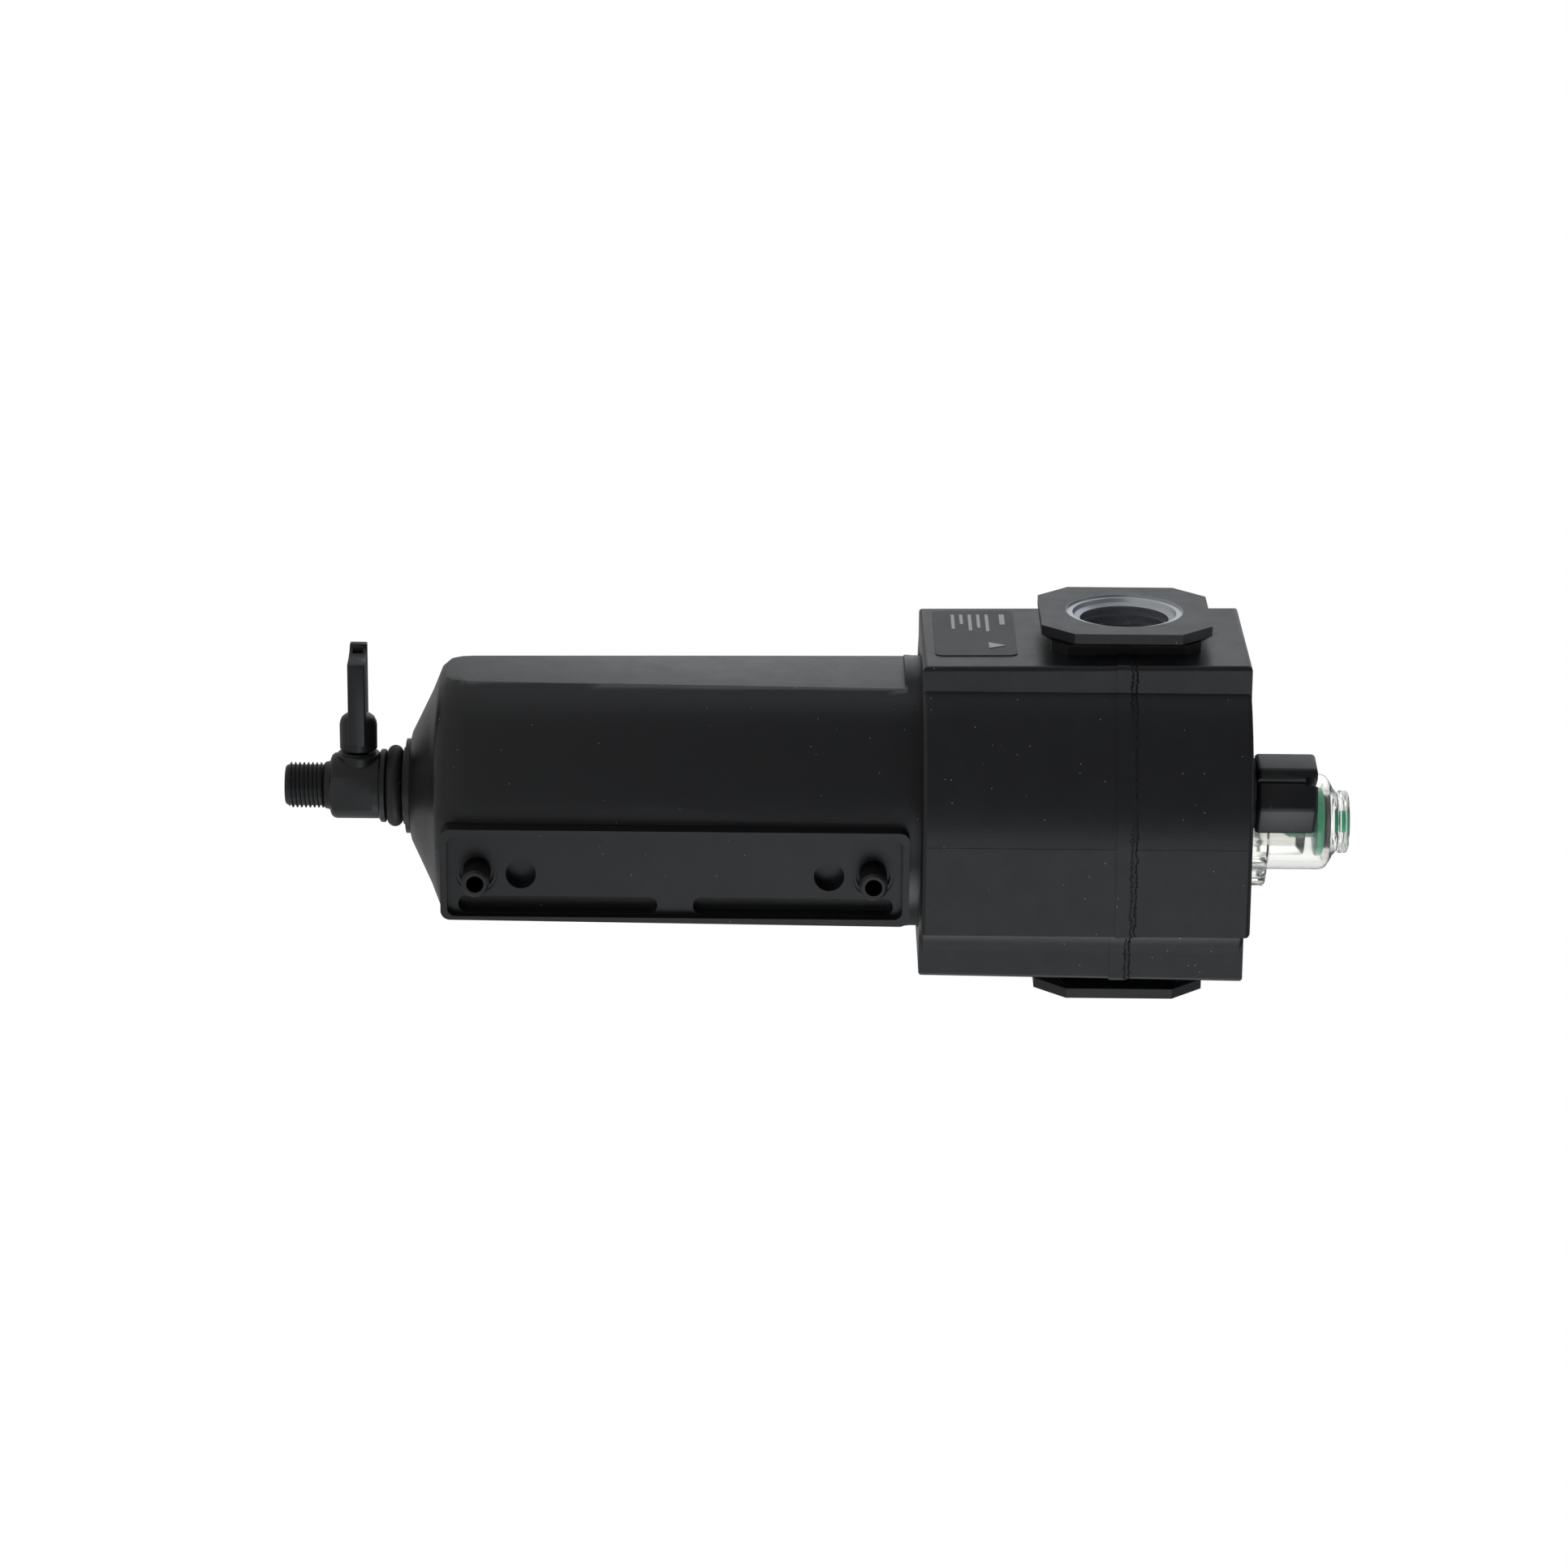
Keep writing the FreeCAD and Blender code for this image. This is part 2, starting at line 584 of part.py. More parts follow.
def make_fill_plug():
    """The fill plug: a six-cornered knob with a flute and a slot, on a threaded shank."""
    low, high = plug_knob_z
    knob = extruded(regular_outline(6, plug_corner_radius, plug_corner_turn, plug_x, plug_y), low, high)
    knob = knob.makeFillet(1.3, [e for e in knob.Edges if e.BoundBox.ZLength > 1.0])
    top = [e for e in knob.Edges if e.BoundBox.ZLength < 0.01 and e.BoundBox.ZMin > high - 0.01]
    knob = knob.makeFillet(0.8, top)
    flute_angle = math.radians(plug_flute_turn)
    reach = plug_corner_radius - 0.6
    flute_x = plug_x + reach * math.cos(flute_angle)
    flute_y = plug_y + reach * math.sin(flute_angle)
    flute = cylinder(plug_flute_radius, low - 1.0, high + 1.0, flute_x, flute_y)
    slot = block((plug_x - 12.0, plug_x + 12.0),
                 (plug_y - plug_slot[0] / 2.0, plug_y + plug_slot[0] / 2.0),
                 (high - plug_slot[1], high + 1.0))
    slot.rotate(Vector(plug_x, plug_y, 0), Z_AXIS, plug_flute_turn)
    crest = plug_shank_radius - 0.06
    neck_foot = head_top + 0.05
    shank = [(0.0, low), (plug_neck_radius, low), (plug_neck_radius, neck_foot), (crest - 0.5, neck_foot)]
    thread = thread_profile(crest, crest - 0.9, head_top - 0.9, plug_thread_pitch, plug_thread_turns, 0.0)
    shank += thread[1:-1]
    shank += [(crest - 0.8, thread[-1][1] - 0.6), (0.0, thread[-1][1] - 0.6)]
    return knob.cut([flute, slot]).fuse(turned(shank, plug_x, plug_y)).removeSplitter()


def make_dome():
    """The clear dome: notched base flange, barrel, shoulder and a knurled-size top, hollow inside."""
    outside = turned([(0.0, dome_socket_z + 1.0), (dome_radius, dome_socket_z + 1.0),
                      (dome_radius, head_top + 0.02), (dome_flange_radius, head_top + 0.02),
                      (dome_flange_radius, dome_flange_z - 0.5), (dome_flange_radius - 0.5, dome_flange_z),
                      (dome_radius, dome_flange_z), (dome_radius, dome_shoulder_z - 0.8),
                      (dome_radius - 0.25, dome_shoulder_z), (dome_radius - 1.2, dome_shoulder_z + 0.9),
                      (dome_neck_radius, dome_neck_z), (dome_neck_radius, dome_neck_z + 0.3),
                      (dome_knob_radius, dome_neck_z + 0.8), (dome_knob_radius, dome_top_z - 1.0),
                      (dome_knob_radius - 0.9, dome_top_z), (0.0, dome_top_z)], dome_x, dome_y)
    inner = dome_radius - dome_wall
    hollow = turned([(0.0, dome_socket_z), (inner, dome_socket_z), (inner, dome_shoulder_z - 0.6),
                     (inner - 1.4, dome_ceiling_z), (0.0, dome_ceiling_z)], dome_x, dome_y)
    stem_hole = cylinder(adjuster_stem_radius + 0.08, dome_ceiling_z - 1.0, dome_top_z + 1.0, dome_x, dome_y)
    cutters = [hollow, stem_hole]
    for number in range(dome_lug_count):
        angle = 360.0 * (number + 0.5) / dome_lug_count
        notch = block((dome_radius + 1.2, dome_flange_radius + 1.0),
                      (-dome_lug_notch / 2.0, dome_lug_notch / 2.0),
                      (head_top + 1.6, dome_flange_z + 1.0))
        notch.rotate(Vector(0, 0, 0), Z_AXIS, angle)
        notch.translate(Vector(dome_x, dome_y, 0))
        cutters.append(notch)
    return outside.cut(cutters).removeSplitter()


def make_adjuster():
    """The green adjuster: a wide disc with a stem up through the dome and a needle below."""
    low, high = adjuster_disc_z
    seal_inside = adjuster_seal_ring[0] - adjuster_seal_ring[1]
    profile = [(0.0, dome_top_z - 0.4), (adjuster_stem_radius, dome_top_z - 0.4),
               (adjuster_stem_radius, high + 0.1), (seal_inside, high + 0.1), (seal_inside, high),
               (adjuster_disc_radius, high),
               (adjuster_disc_radius, low), (3.4, low), (3.4, 36.0), (1.4, 33.0), (0.0, 31.0)]
    screw = turned(profile, dome_x, dome_y)
    slot = block((dome_x - 3.0, dome_x + 3.0), (dome_y - 0.4, dome_y + 0.4), (dome_top_z - 1.6, dome_top_z))
    return screw.cut(slot)


def make_drip_tube():
    """The clear sleeve inside the dome, with a funnel mouth."""
    low, high = drip_tube_z
    return turned([(drip_tube_bore, low), (drip_tube_radius, low), (drip_tube_radius, high),
                   (drip_tube_radius - 1.0, high), (drip_tube_bore, high - 2.0)], dome_x, dome_y)


def make_flow_guide():
    """The plastic ring pressed into the passage, with two ears for the vane's pin."""
    outer = passage_radius - 0.02
    body = bar_x(outer, guide_x[0], guide_x[1]).cut(bar_x(guide_bore_radius, guide_x[0] - 1, guide_x[1] + 1))
    ears = []
    for side in (-1, 1):
        y0 = side * 3.2
        y1 = side * 4.8
        ears.append(block((guide_x[1] - 0.5, vane_x + 2.0), (min(y0, y1), max(y0, y1)),
                          (vane_pin_z - 1.1, vane_pin_z + 1.2)))
    body = body.fuse(ears)
    body = body.common(bar_x(outer, guide_x[0] - 1.0, vane_x + 3.0))
    return body.cut(bar_y(vane_pin_radius, -6.0, 6.0, vane_x + 0.5, vane_pin_z)).removeSplitter()


def make_vane_pin():
    """The pin that the vane hangs on."""
    return bar_y(vane_pin_radius, -4.8, 4.8, vane_x + 0.5, vane_pin_z)


def make_vane():
    """The hinged vane: a thin round plate, cut straight across its top, with a hinge barrel."""
    plate = bar_x(vane_radius, vane_x, vane_x + vane_thickness)
    plate = plate.common(block((vane_x, vane_x + vane_thickness), (-7.0, 7.0), (-7.0, vane_pin_z - 2.9)))
    web = block((vane_x, vane_x + vane_thickness), (-2.9, 2.9), (0.0, vane_pin_z))
    barrel = bar_y(1.1, -2.9, 2.9, vane_x + 0.5, vane_pin_z)
    body = plate.fuse([web, barrel])
    return body.cut(bar_y(vane_pin_radius + 0.05, -6.0, 6.0, vane_x + 0.5, vane_pin_z)).removeSplitter()


def make_siphon_adapter():
    """The pick-up fitting under the head: a socket for the tube and a seat for the check ball."""
    low, high = siphon_adapter_z
    seat = siphon_ball_radius - 0.5
    room = siphon_ball_radius + 0.15
    ball_floor = siphon_ball_floor_z
    outer = siphon_adapter_radius
    return turned([(siphon_tube_radius + 0.02, low), (outer, low), (outer, high), (siphon_riser_radius, high),
                   (siphon_riser_radius - 0.4, high), (siphon_riser_radius - 0.4, high - 1.2),
                   (room, high - 1.2), (room, ball_floor + 0.9), (seat, ball_floor),
                   (seat, low + 2.2), (siphon_tube_radius + 0.02, low + 2.2)], siphon_x, siphon_y)


def make_siphon_ball():
    """The pick-up's check ball, resting in its cone seat."""
    z = siphon_ball_floor_z + siphon_ball_radius + 0.2
    return Part.makeSphere(siphon_ball_radius, Vector(siphon_x, siphon_y, z))


def make_siphon_tube():
    """The straight pick-up tube down to the bowl's floor."""
    low, high = siphon_tube_z
    tube = cylinder(siphon_tube_radius, low, high, siphon_x, siphon_y)
    return tube.cut(cylinder(siphon_tube_bore, low - 1, high + 1, siphon_x, siphon_y))


def make_strainer():
    """The sintered cup over the tube's lower end."""
    low, high = strainer_z
    return turned([(0.0, low), (strainer_radius - 0.6, low), (strainer_radius, low + 0.6),
                   (strainer_radius, high), (siphon_tube_radius + 0.02, high),
                   (siphon_tube_radius + 0.02, siphon_tube_z[0] - 0.02),
                   (siphon_tube_bore, siphon_tube_z[0] - 0.02), (siphon_tube_bore, low + 1.4),
                   (0.0, low + 1.4)], siphon_x, siphon_y)


def make_charge_seat():
    """The charging check's cage, screwed up into the socket's roof."""
    roof = socket_roof_z
    room = charge_ball_radius + 0.15
    hole = charge_hole_radius
    foot = roof - charge_seat_length
    floor = foot + charge_cage_floor
    return turned([(hole, roof), (charge_seat_radius, roof), (charge_seat_radius, foot), (hole - 0.1, foot),
                   (hole - 0.1, floor), (room, floor), (room, roof - 1.2), (hole, roof - 0.6)],
                  charge_x, charge_y)


def make_charge_ball():
    """The charging check's ball, at rest on its cage's floor."""
    z = socket_roof_z - charge_seat_length + charge_cage_floor + charge_ball_radius + 0.05
    return Part.makeSphere(charge_ball_radius, Vector(charge_x, charge_y, z))


def make_label():
    """A thin foil plate that lies on the inlet end block's leaning face."""
    lean = head_width_draft / (head_top - head_bottom)
    low_z, high_z = label_z
    plate = block((-label_thickness, 0.0), label_y, (0.0, high_z - low_z))
    plate = plate.makeFillet(label_corner, [e for e in plate.Edges if e.BoundBox.XLength > 0.1])
    plate.rotate(Vector(0, 0, 0), Vector(0, 1, 0), -math.degrees(math.atan(lean)))
    plate.translate(Vector(-head_half_width - lean * (low_z - head_bottom) - 0.005, 0, low_z))
    return plate


def make_washer():
    """The thin washer under the bowl's boss."""
    return turned([(drain_stud_radius + 0.1, washer_z[0]), (washer_radius, washer_z[0]),
                   (washer_radius, washer_z[1]), (drain_stud_radius + 0.1, washer_z[1])])


nodes = {
    "head_body": make_head(),
    "rating_label": make_label(),
    "sight_dome": make_dome(),
    "dome_seal": ring(dome_seal_ring, head_top - dome_seal_groove[1] / 2.0, dome_x, dome_y),
    "drip_tube": make_drip_tube(),
    "adjusting_screw": make_adjuster(),
    "adjuster_seal": ring(adjuster_seal_ring, adjuster_disc_z[1] + 0.65, dome_x, dome_y),
    "fill_plug": make_fill_plug(),
    "fill_plug_seal": ring(plug_seal_ring, (head_top + plug_knob_z[0]) / 2.0, plug_x, plug_y),
    "flow_guide": make_flow_guide(),
    "vane_pin": make_vane_pin(),
    "flow_vane": make_vane(),
    "siphon_adapter": make_siphon_adapter(),
    "siphon_ball": make_siphon_ball(),
    "siphon_tube": make_siphon_tube(),
    "siphon_strainer": make_strainer(),
    "charge_valve_seat": make_charge_seat(),
    "charge_valve_ball": make_charge_ball(),
    "bowl": make_bowl(),
    "bowl_seal": ring(bowl_seal_ring, bowl_seal_z),
    "gauge_spigot_upper": make_spigot(1),
    "gauge_spigot_lower": make_spigot(-1),
    "drain_body": make_drain_body(),
    "drain_nut": make_drain_nut(),
    "drain_washer": make_washer(),
    "drain_grommet": ring(grommet_ring, grommet_z),
    "drain_handle": make_drain_handle(),
    "drain_stem_seals": make_stem_seals(),
}

os.makedirs("parts", exist_ok=True)
for name, shape in nodes.items():
    shape.exportStep("parts/" + name + ".step")
    print(name, "solids", len(shape.Solids), "volume", round(shape.Volume, 2), "valid", shape.isValid())
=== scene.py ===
import math

import bpy
from mathutils import Matrix, Vector


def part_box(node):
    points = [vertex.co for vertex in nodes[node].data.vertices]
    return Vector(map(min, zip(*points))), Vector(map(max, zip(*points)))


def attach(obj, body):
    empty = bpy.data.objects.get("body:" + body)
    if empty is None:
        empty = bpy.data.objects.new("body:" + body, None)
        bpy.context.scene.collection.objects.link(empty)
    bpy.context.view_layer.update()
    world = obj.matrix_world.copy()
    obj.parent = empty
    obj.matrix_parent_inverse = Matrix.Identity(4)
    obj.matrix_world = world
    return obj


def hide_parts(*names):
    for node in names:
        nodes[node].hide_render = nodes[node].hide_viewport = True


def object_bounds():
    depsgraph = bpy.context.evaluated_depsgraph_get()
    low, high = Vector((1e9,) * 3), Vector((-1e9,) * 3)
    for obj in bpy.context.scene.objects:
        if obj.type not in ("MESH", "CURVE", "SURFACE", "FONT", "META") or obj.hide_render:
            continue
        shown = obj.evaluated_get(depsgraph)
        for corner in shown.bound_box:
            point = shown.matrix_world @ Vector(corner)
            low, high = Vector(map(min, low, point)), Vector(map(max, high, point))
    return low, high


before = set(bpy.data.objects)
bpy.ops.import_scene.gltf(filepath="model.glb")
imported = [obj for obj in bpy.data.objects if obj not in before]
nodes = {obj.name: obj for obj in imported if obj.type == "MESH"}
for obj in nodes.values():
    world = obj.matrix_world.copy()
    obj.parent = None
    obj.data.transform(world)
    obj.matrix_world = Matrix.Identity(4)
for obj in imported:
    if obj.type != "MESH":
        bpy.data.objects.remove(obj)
cad_low, cad_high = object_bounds()

# The camera stands 1.2 m off, 18 degrees round to the inlet side, on its side so that the bowl
# points to the left and the dome to the right. A long lens keeps the perspective flat.
view_turn = math.radians(18.0)
camera_roll = math.radians(-0.52)
camera_distance = 1.2
look_at = Vector((0, 0, -0.071))
away = Vector((-math.sin(view_turn), -math.cos(view_turn), 0))
sideways = Vector((-math.cos(view_turn), math.sin(view_turn), 0))
upright = Vector((0, 0, 1))
camera_right = upright * math.cos(camera_roll) - sideways * math.sin(camera_roll)
camera_up = upright * math.sin(camera_roll) + sideways * math.cos(camera_roll)
camera_data = bpy.data.cameras.new("camera")
camera_data.lens = 130.1
camera_data.sensor_width = 36.0
camera_data.shift_y = 0.0032
camera_data.clip_start = 0.05
camera_data.clip_end = 50.0
camera = bpy.data.objects.new("camera", camera_data)
bpy.context.collection.objects.link(camera)
axes = Matrix((camera_right, camera_up, away)).transposed()
camera.matrix_world = Matrix.Translation(look_at + away * camera_distance) @ axes.to_4x4()
bpy.context.scene.camera = camera

# A plain white floor just under the drain's tip, a white sky to the eye that is dimmer as a light,
# and big soft lamps: the brightest low on the outlet side, dimmer ones in front, behind and above.
bpy.ops.object.select_all(action="DESELECT")
floor_gap = 0.0004
bpy.ops.mesh.primitive_plane_add(size=6.0, location=(0, 0, cad_low.z - floor_gap))
floor = bpy.context.object
floor.name = "floor"
floor_paint = bpy.data.materials.new("floor_paint")
floor_paint.use_nodes = True
floor_shader = floor_paint.node_tree.nodes["Principled BSDF"]
floor_shader.inputs["Base Color"].default_value = (0.2, 0.2, 0.2, 1)
floor_shader.inputs["Roughness"].default_value = 0.9
floor_shader.inputs["Emission Color"].default_value = (1, 1, 1, 1)
floor_nodes = floor_paint.node_tree.nodes
floor_links = floor_paint.node_tree.links
floor_ray = floor_nodes.new("ShaderNodeLightPath")
floor_glow = floor_nodes.new("ShaderNodeMapRange")
floor_glow.inputs["To Min"].default_value = 0.36
floor_glow.inputs["To Max"].default_value = 1.0
floor_links.new(floor_ray.outputs["Is Camera Ray"], floor_glow.inputs["Value"])
floor_links.new(floor_glow.outputs["Result"], floor_shader.inputs["Emission Strength"])
floor.data.materials.append(floor_paint)

sky = bpy.data.worlds.new("sky")
bpy.context.scene.world = sky
sky.use_nodes = True
sky_nodes = sky.node_tree.nodes
sky_links = sky.node_tree.links
sky_nodes.clear()
sky_out = sky_nodes.new("ShaderNodeOutputWorld")
sky_mix = sky_nodes.new("ShaderNodeMixShader")
seen_white = sky_nodes.new("ShaderNodeBackground")
seen_white.inputs["Color"].default_value = (1, 1, 1, 1)
light_grey = sky_nodes.new("ShaderNodeBackground")
light_grey.inputs["Color"].default_value = (0.135, 0.139, 0.150, 1)
ray = sky_nodes.new("ShaderNodeLightPath")
sees_through = sky_nodes.new("ShaderNodeMath")
sees_through.operation = "MAXIMUM"
sky_links.new(ray.outputs["Is Camera Ray"], sees_through.inputs[0])
sky_links.new(ray.outputs["Transmission Depth"], sees_through.inputs[1])
sees_through.use_clamp = True
sky_links.new(sees_through.outputs[0], sky_mix.inputs["Fac"])
sky_links.new(light_grey.outputs[0], sky_mix.inputs[1])
sky_links.new(seen_white.outputs[0], sky_mix.inputs[2])
sky_links.new(sky_mix.outputs[0], sky_out.inputs["Surface"])


def soft_lamp(name, place, watts, width, height):
    """A rectangular lamp that faces the middle of the object."""
    lamp_data = bpy.data.lights.new(name, "AREA")
    lamp_data.shape = "RECTANGLE"
    lamp_data.size = width
    lamp_data.size_y = height
    lamp_data.energy = watts
    lamp_data.color = (0.93, 0.96, 1.0)
    lamp = bpy.data.objects.new(name, lamp_data)
    lamp.location = place
    lamp.rotation_mode = "QUATERNION"
    lamp.rotation_quaternion = (Vector(place) - look_at).to_track_quat("Z", "Y")
    bpy.context.collection.objects.link(lamp)


soft_lamp("front_lamp", (0.75, -1.45, -0.05), 4.6, 1.0, 1.2)
soft_lamp("back_lamp", (-0.5, 1.5, 0.1), 5.0, 1.6, 1.4)
soft_lamp("outlet_side_lamp", (1.2, -0.35, -0.05), 5.2, 0.8, 1.0)
soft_lamp("inlet_side_lamp", (-1.4, 0.3, 0.2), 0.9, 0.7, 1.0)
soft_lamp("top_lamp", (0.1, -0.3, 1.4), 1.6, 1.0, 1.0)
bpy.context.scene.view_settings.view_transform = "Standard"

# The head is a zinc die casting in satin black paint. Its two pipe ports were masked, so their mouths
# and threads are bare metal. Paint grain, dust and tone patches are the same effects on all painted parts.


def activate(piece):
    """Select only this piece."""
    bpy.ops.object.select_all(action="DESELECT")
    piece.select_set(True)
    bpy.context.view_layer.objects.active = piece


def pick(piece, wanted):
    """Go into edit mode with only the corners selected whose place is wanted."""
    activate(piece)
    bpy.ops.object.mode_set(mode="EDIT")
    bpy.ops.mesh.select_mode(type="VERT")
    bpy.ops.mesh.select_all(action="DESELECT")
    bpy.ops.object.mode_set(mode="OBJECT")
    for corner in piece.data.vertices:
        corner.select = wanted(corner.co)
    bpy.ops.object.mode_set(mode="EDIT")


def add_node(tree, kind, **settings):
    """A new node with some of its settings or input values given by name."""
    node = tree.nodes.new(kind)
    for name, value in settings.items():
        if name in node.bl_rna.properties:
            setattr(node, name, value)
        else:
            node.inputs[name.replace("_", " ").title()].default_value = value
    return node


def new_group(name, inputs, outputs):
    """An empty node group with float inputs, a vector input named Vector, and the outputs given."""
    tree = bpy.data.node_groups.new(name, "ShaderNodeTree")
    tree.interface.new_socket("Vector", in_out="INPUT", socket_type="NodeSocketVector")
    for label, value in inputs:
        socket = tree.interface.new_socket(label, in_out="INPUT", socket_type="NodeSocketFloat")
        socket.default_value = value
    for label, kind in outputs:
        tree.interface.new_socket(label, in_out="OUTPUT", socket_type=kind)
    return tree, tree.nodes.new("NodeGroupInput"), tree.nodes.new("NodeGroupOutput")


# grain: a fine orange-peel bump, and slow patches in tone and gloss
grain, grain_in, grain_out = new_group(
    "surface_grain", [("Scale", 1800.0), ("Bump", 0.2)],
    [("Normal", "NodeSocketVector"), ("Patch", "NodeSocketFloat")])
peel = add_node(grain, "ShaderNodeTexNoise", detail=4.0, roughness=0.6)
patches = add_node(grain, "ShaderNodeTexNoise", scale=160.0, detail=6.0, roughness=0.65)
bump = add_node(grain, "ShaderNodeBump", distance=0.00006)
grain.links.new(grain_in.outputs["Vector"], peel.inputs["Vector"])
grain.links.new(grain_in.outputs["Scale"], peel.inputs["Scale"])
grain.links.new(grain_in.outputs["Vector"], patches.inputs["Vector"])
grain.links.new(grain_in.outputs["Bump"], bump.inputs["Strength"])
grain.links.new(peel.outputs["Fac"], bump.inputs["Height"])
grain.links.new(bump.outputs["Normal"], grain_out.inputs["Normal"])
grain.links.new(patches.outputs["Fac"], grain_out.inputs["Patch"])

# dust: small round specks in a few of the cells of an even scatter
dust, dust_in, dust_out = new_group(
    "dust_specks", [("Scale", 650.0), ("Size", 0.085), ("Share", 0.12)], [("Mask", "NodeSocketFloat")])
cells = add_node(dust, "ShaderNodeTexVoronoi")
speck = add_node(dust, "ShaderNodeMath", operation="LESS_THAN")
cell_draw = add_node(dust, "ShaderNodeSeparateColor")
chosen = add_node(dust, "ShaderNodeMath", operation="LESS_THAN")
both = add_node(dust, "ShaderNodeMath", operation="MULTIPLY")
dust.links.new(dust_in.outputs["Vector"], cells.inputs["Vector"])
dust.links.new(dust_in.outputs["Scale"], cells.inputs["Scale"])
dust.links.new(cells.outputs["Distance"], speck.inputs[0])
dust.links.new(dust_in.outputs["Size"], speck.inputs[1])
dust.links.new(cells.outputs["Color"], cell_draw.inputs["Color"])
dust.links.new(cell_draw.outputs["Red"], chosen.inputs[0])
dust.links.new(dust_in.outputs["Share"], chosen.inputs[1])
dust.links.new(speck.outputs[0], both.inputs[0])
dust.links.new(chosen.outputs[0], both.inputs[1])
dust.links.new(both.outputs[0], dust_out.inputs["Mask"])


def finish_material(name, low, high, gloss, metallic=0.0, grain_scale=1800.0, grain_bump=0.2,
                    dust_share=0.12, dust_tone=0.22):
    """A material with grain and dust: base colour from low to high, roughness from gloss[0] to gloss[1]."""
    material = bpy.data.materials.new(name)
    material.use_nodes = True
    tree = material.node_tree
    shader = tree.nodes["Principled BSDF"]
    shader.inputs["Metallic"].default_value = metallic
    place = tree.nodes.new("ShaderNodeTexCoord")
    skin = tree.nodes.new("ShaderNodeGroup")
    skin.node_tree = grain
    skin.inputs["Scale"].default_value = grain_scale
    skin.inputs["Bump"].default_value = grain_bump
    specks = tree.nodes.new("ShaderNodeGroup")
    specks.node_tree = dust
    specks.inputs["Share"].default_value = dust_share
    tone = tree.nodes.new("ShaderNodeMix")
    tone.data_type = "RGBA"
    tone.inputs[6].default_value = (*low, 1)
    tone.inputs[7].default_value = (*high, 1)
    dusty = tree.nodes.new("ShaderNodeMix")
    dusty.data_type = "RGBA"
    dusty.inputs[7].default_value = (dust_tone, dust_tone, dust_tone, 1)
    shine = tree.nodes.new("ShaderNodeMapRange")
    shine.inputs["To Min"].default_value = gloss[0]
    shine.inputs["To Max"].default_value = gloss[1]
    tree.links.new(place.outputs["Object"], skin.inputs["Vector"])
    tree.links.new(place.outputs["Object"], specks.inputs["Vector"])
    tree.links.new(skin.outputs["Patch"], tone.inputs["Factor"])
    tree.links.new(tone.outputs[2], dusty.inputs[6])
    tree.links.new(specks.outputs["Mask"], dusty.inputs["Factor"])
    tree.links.new(dusty.outputs[2], shader.inputs["Base Color"])
    tree.links.new(skin.outputs["Patch"], shine.inputs["Value"])
    tree.links.new(shine.outputs["Result"], shader.inputs["Roughness"])
    tree.links.new(skin.outputs["Normal"], shader.inputs["Normal"])
    return material


def smooth_copy(node_name, new_name):
    """A welded copy of a CAD node, with smooth curves and crisp flats."""
    piece = bpy.data.objects.new(new_name, nodes[node_name].data.copy())
    bpy.context.collection.objects.link(piece)
    piece.data.materials.clear()
    activate(piece)
    bpy.ops.mesh.customdata_custom_splitnormals_clear()
    bpy.ops.object.mode_set(mode="EDIT")
    bpy.ops.mesh.select_all(action="SELECT")
    bpy.ops.mesh.remove_doubles(threshold=0.000002)
    bpy.ops.object.mode_set(mode="OBJECT")
    bpy.ops.object.shade_smooth_by_angle(angle=math.radians(32.0))
    weigh = piece.modifiers.new("weigh_faces", "WEIGHTED_NORMAL")
    weigh.keep_sharp = True
    bpy.ops.object.modifier_apply(modifier=weigh.name)
    return piece


head_paint = finish_material("head_paint", (0.0095, 0.0099, 0.0112), (0.0145, 0.0151, 0.0168), (0.28, 0.46),
                             grain_bump=0.36, dust_share=0.22, dust_tone=0.30)
head_tree = head_paint.node_tree
head_link = head_tree.links.new
head_shader = head_tree.nodes["Principled BSDF"]
head_place = [node for node in head_tree.nodes if node.type == "TEX_COORD"][0]
head_split = add_node(head_tree, "ShaderNodeSeparateXYZ")
head_link(head_place.outputs["Object"], head_split.inputs[0])
across = add_node(head_tree, "ShaderNodeCombineXYZ")
head_link(head_split.outputs["Y"], across.inputs["X"])
head_link(head_split.outputs["Z"], across.inputs["Y"])
port_distance = add_node(head_tree, "ShaderNodeVectorMath", operation="LENGTH")
head_link(across.outputs[0], port_distance.inputs[0])
bare_radius = 0.01225
inside_port = add_node(head_tree, "ShaderNodeMath", operation="LESS_THAN")
inside_port.inputs[1].default_value = bare_radius
head_link(port_distance.outputs["Value"], inside_port.inputs[0])
from_middle = add_node(head_tree, "ShaderNodeMath", operation="ABSOLUTE")
head_link(head_split.outputs["X"], from_middle.inputs[0])
bare_from_middle = 0.0195
near_mouth = add_node(head_tree, "ShaderNodeMath", operation="GREATER_THAN")
near_mouth.inputs[1].default_value = bare_from_middle
head_link(from_middle.outputs[0], near_mouth.inputs[0])
bare = add_node(head_tree, "ShaderNodeMath", operation="MULTIPLY")
head_link(inside_port.outputs[0], bare.inputs[0])
head_link(near_mouth.outputs[0], bare.inputs[1])
bare_colour = add_node(head_tree, "ShaderNodeMix", data_type="RGBA")
bare_colour.inputs[7].default_value = (0.62, 0.64, 0.66, 1)
head_link(head_shader.inputs["Base Color"].links[0].from_socket, bare_colour.inputs[6])
head_link(bare.outputs[0], bare_colour.inputs["Factor"])
head_link(bare_colour.outputs[2], head_shader.inputs["Base Color"])
head_link(bare.outputs[0], head_shader.inputs["Metallic"])

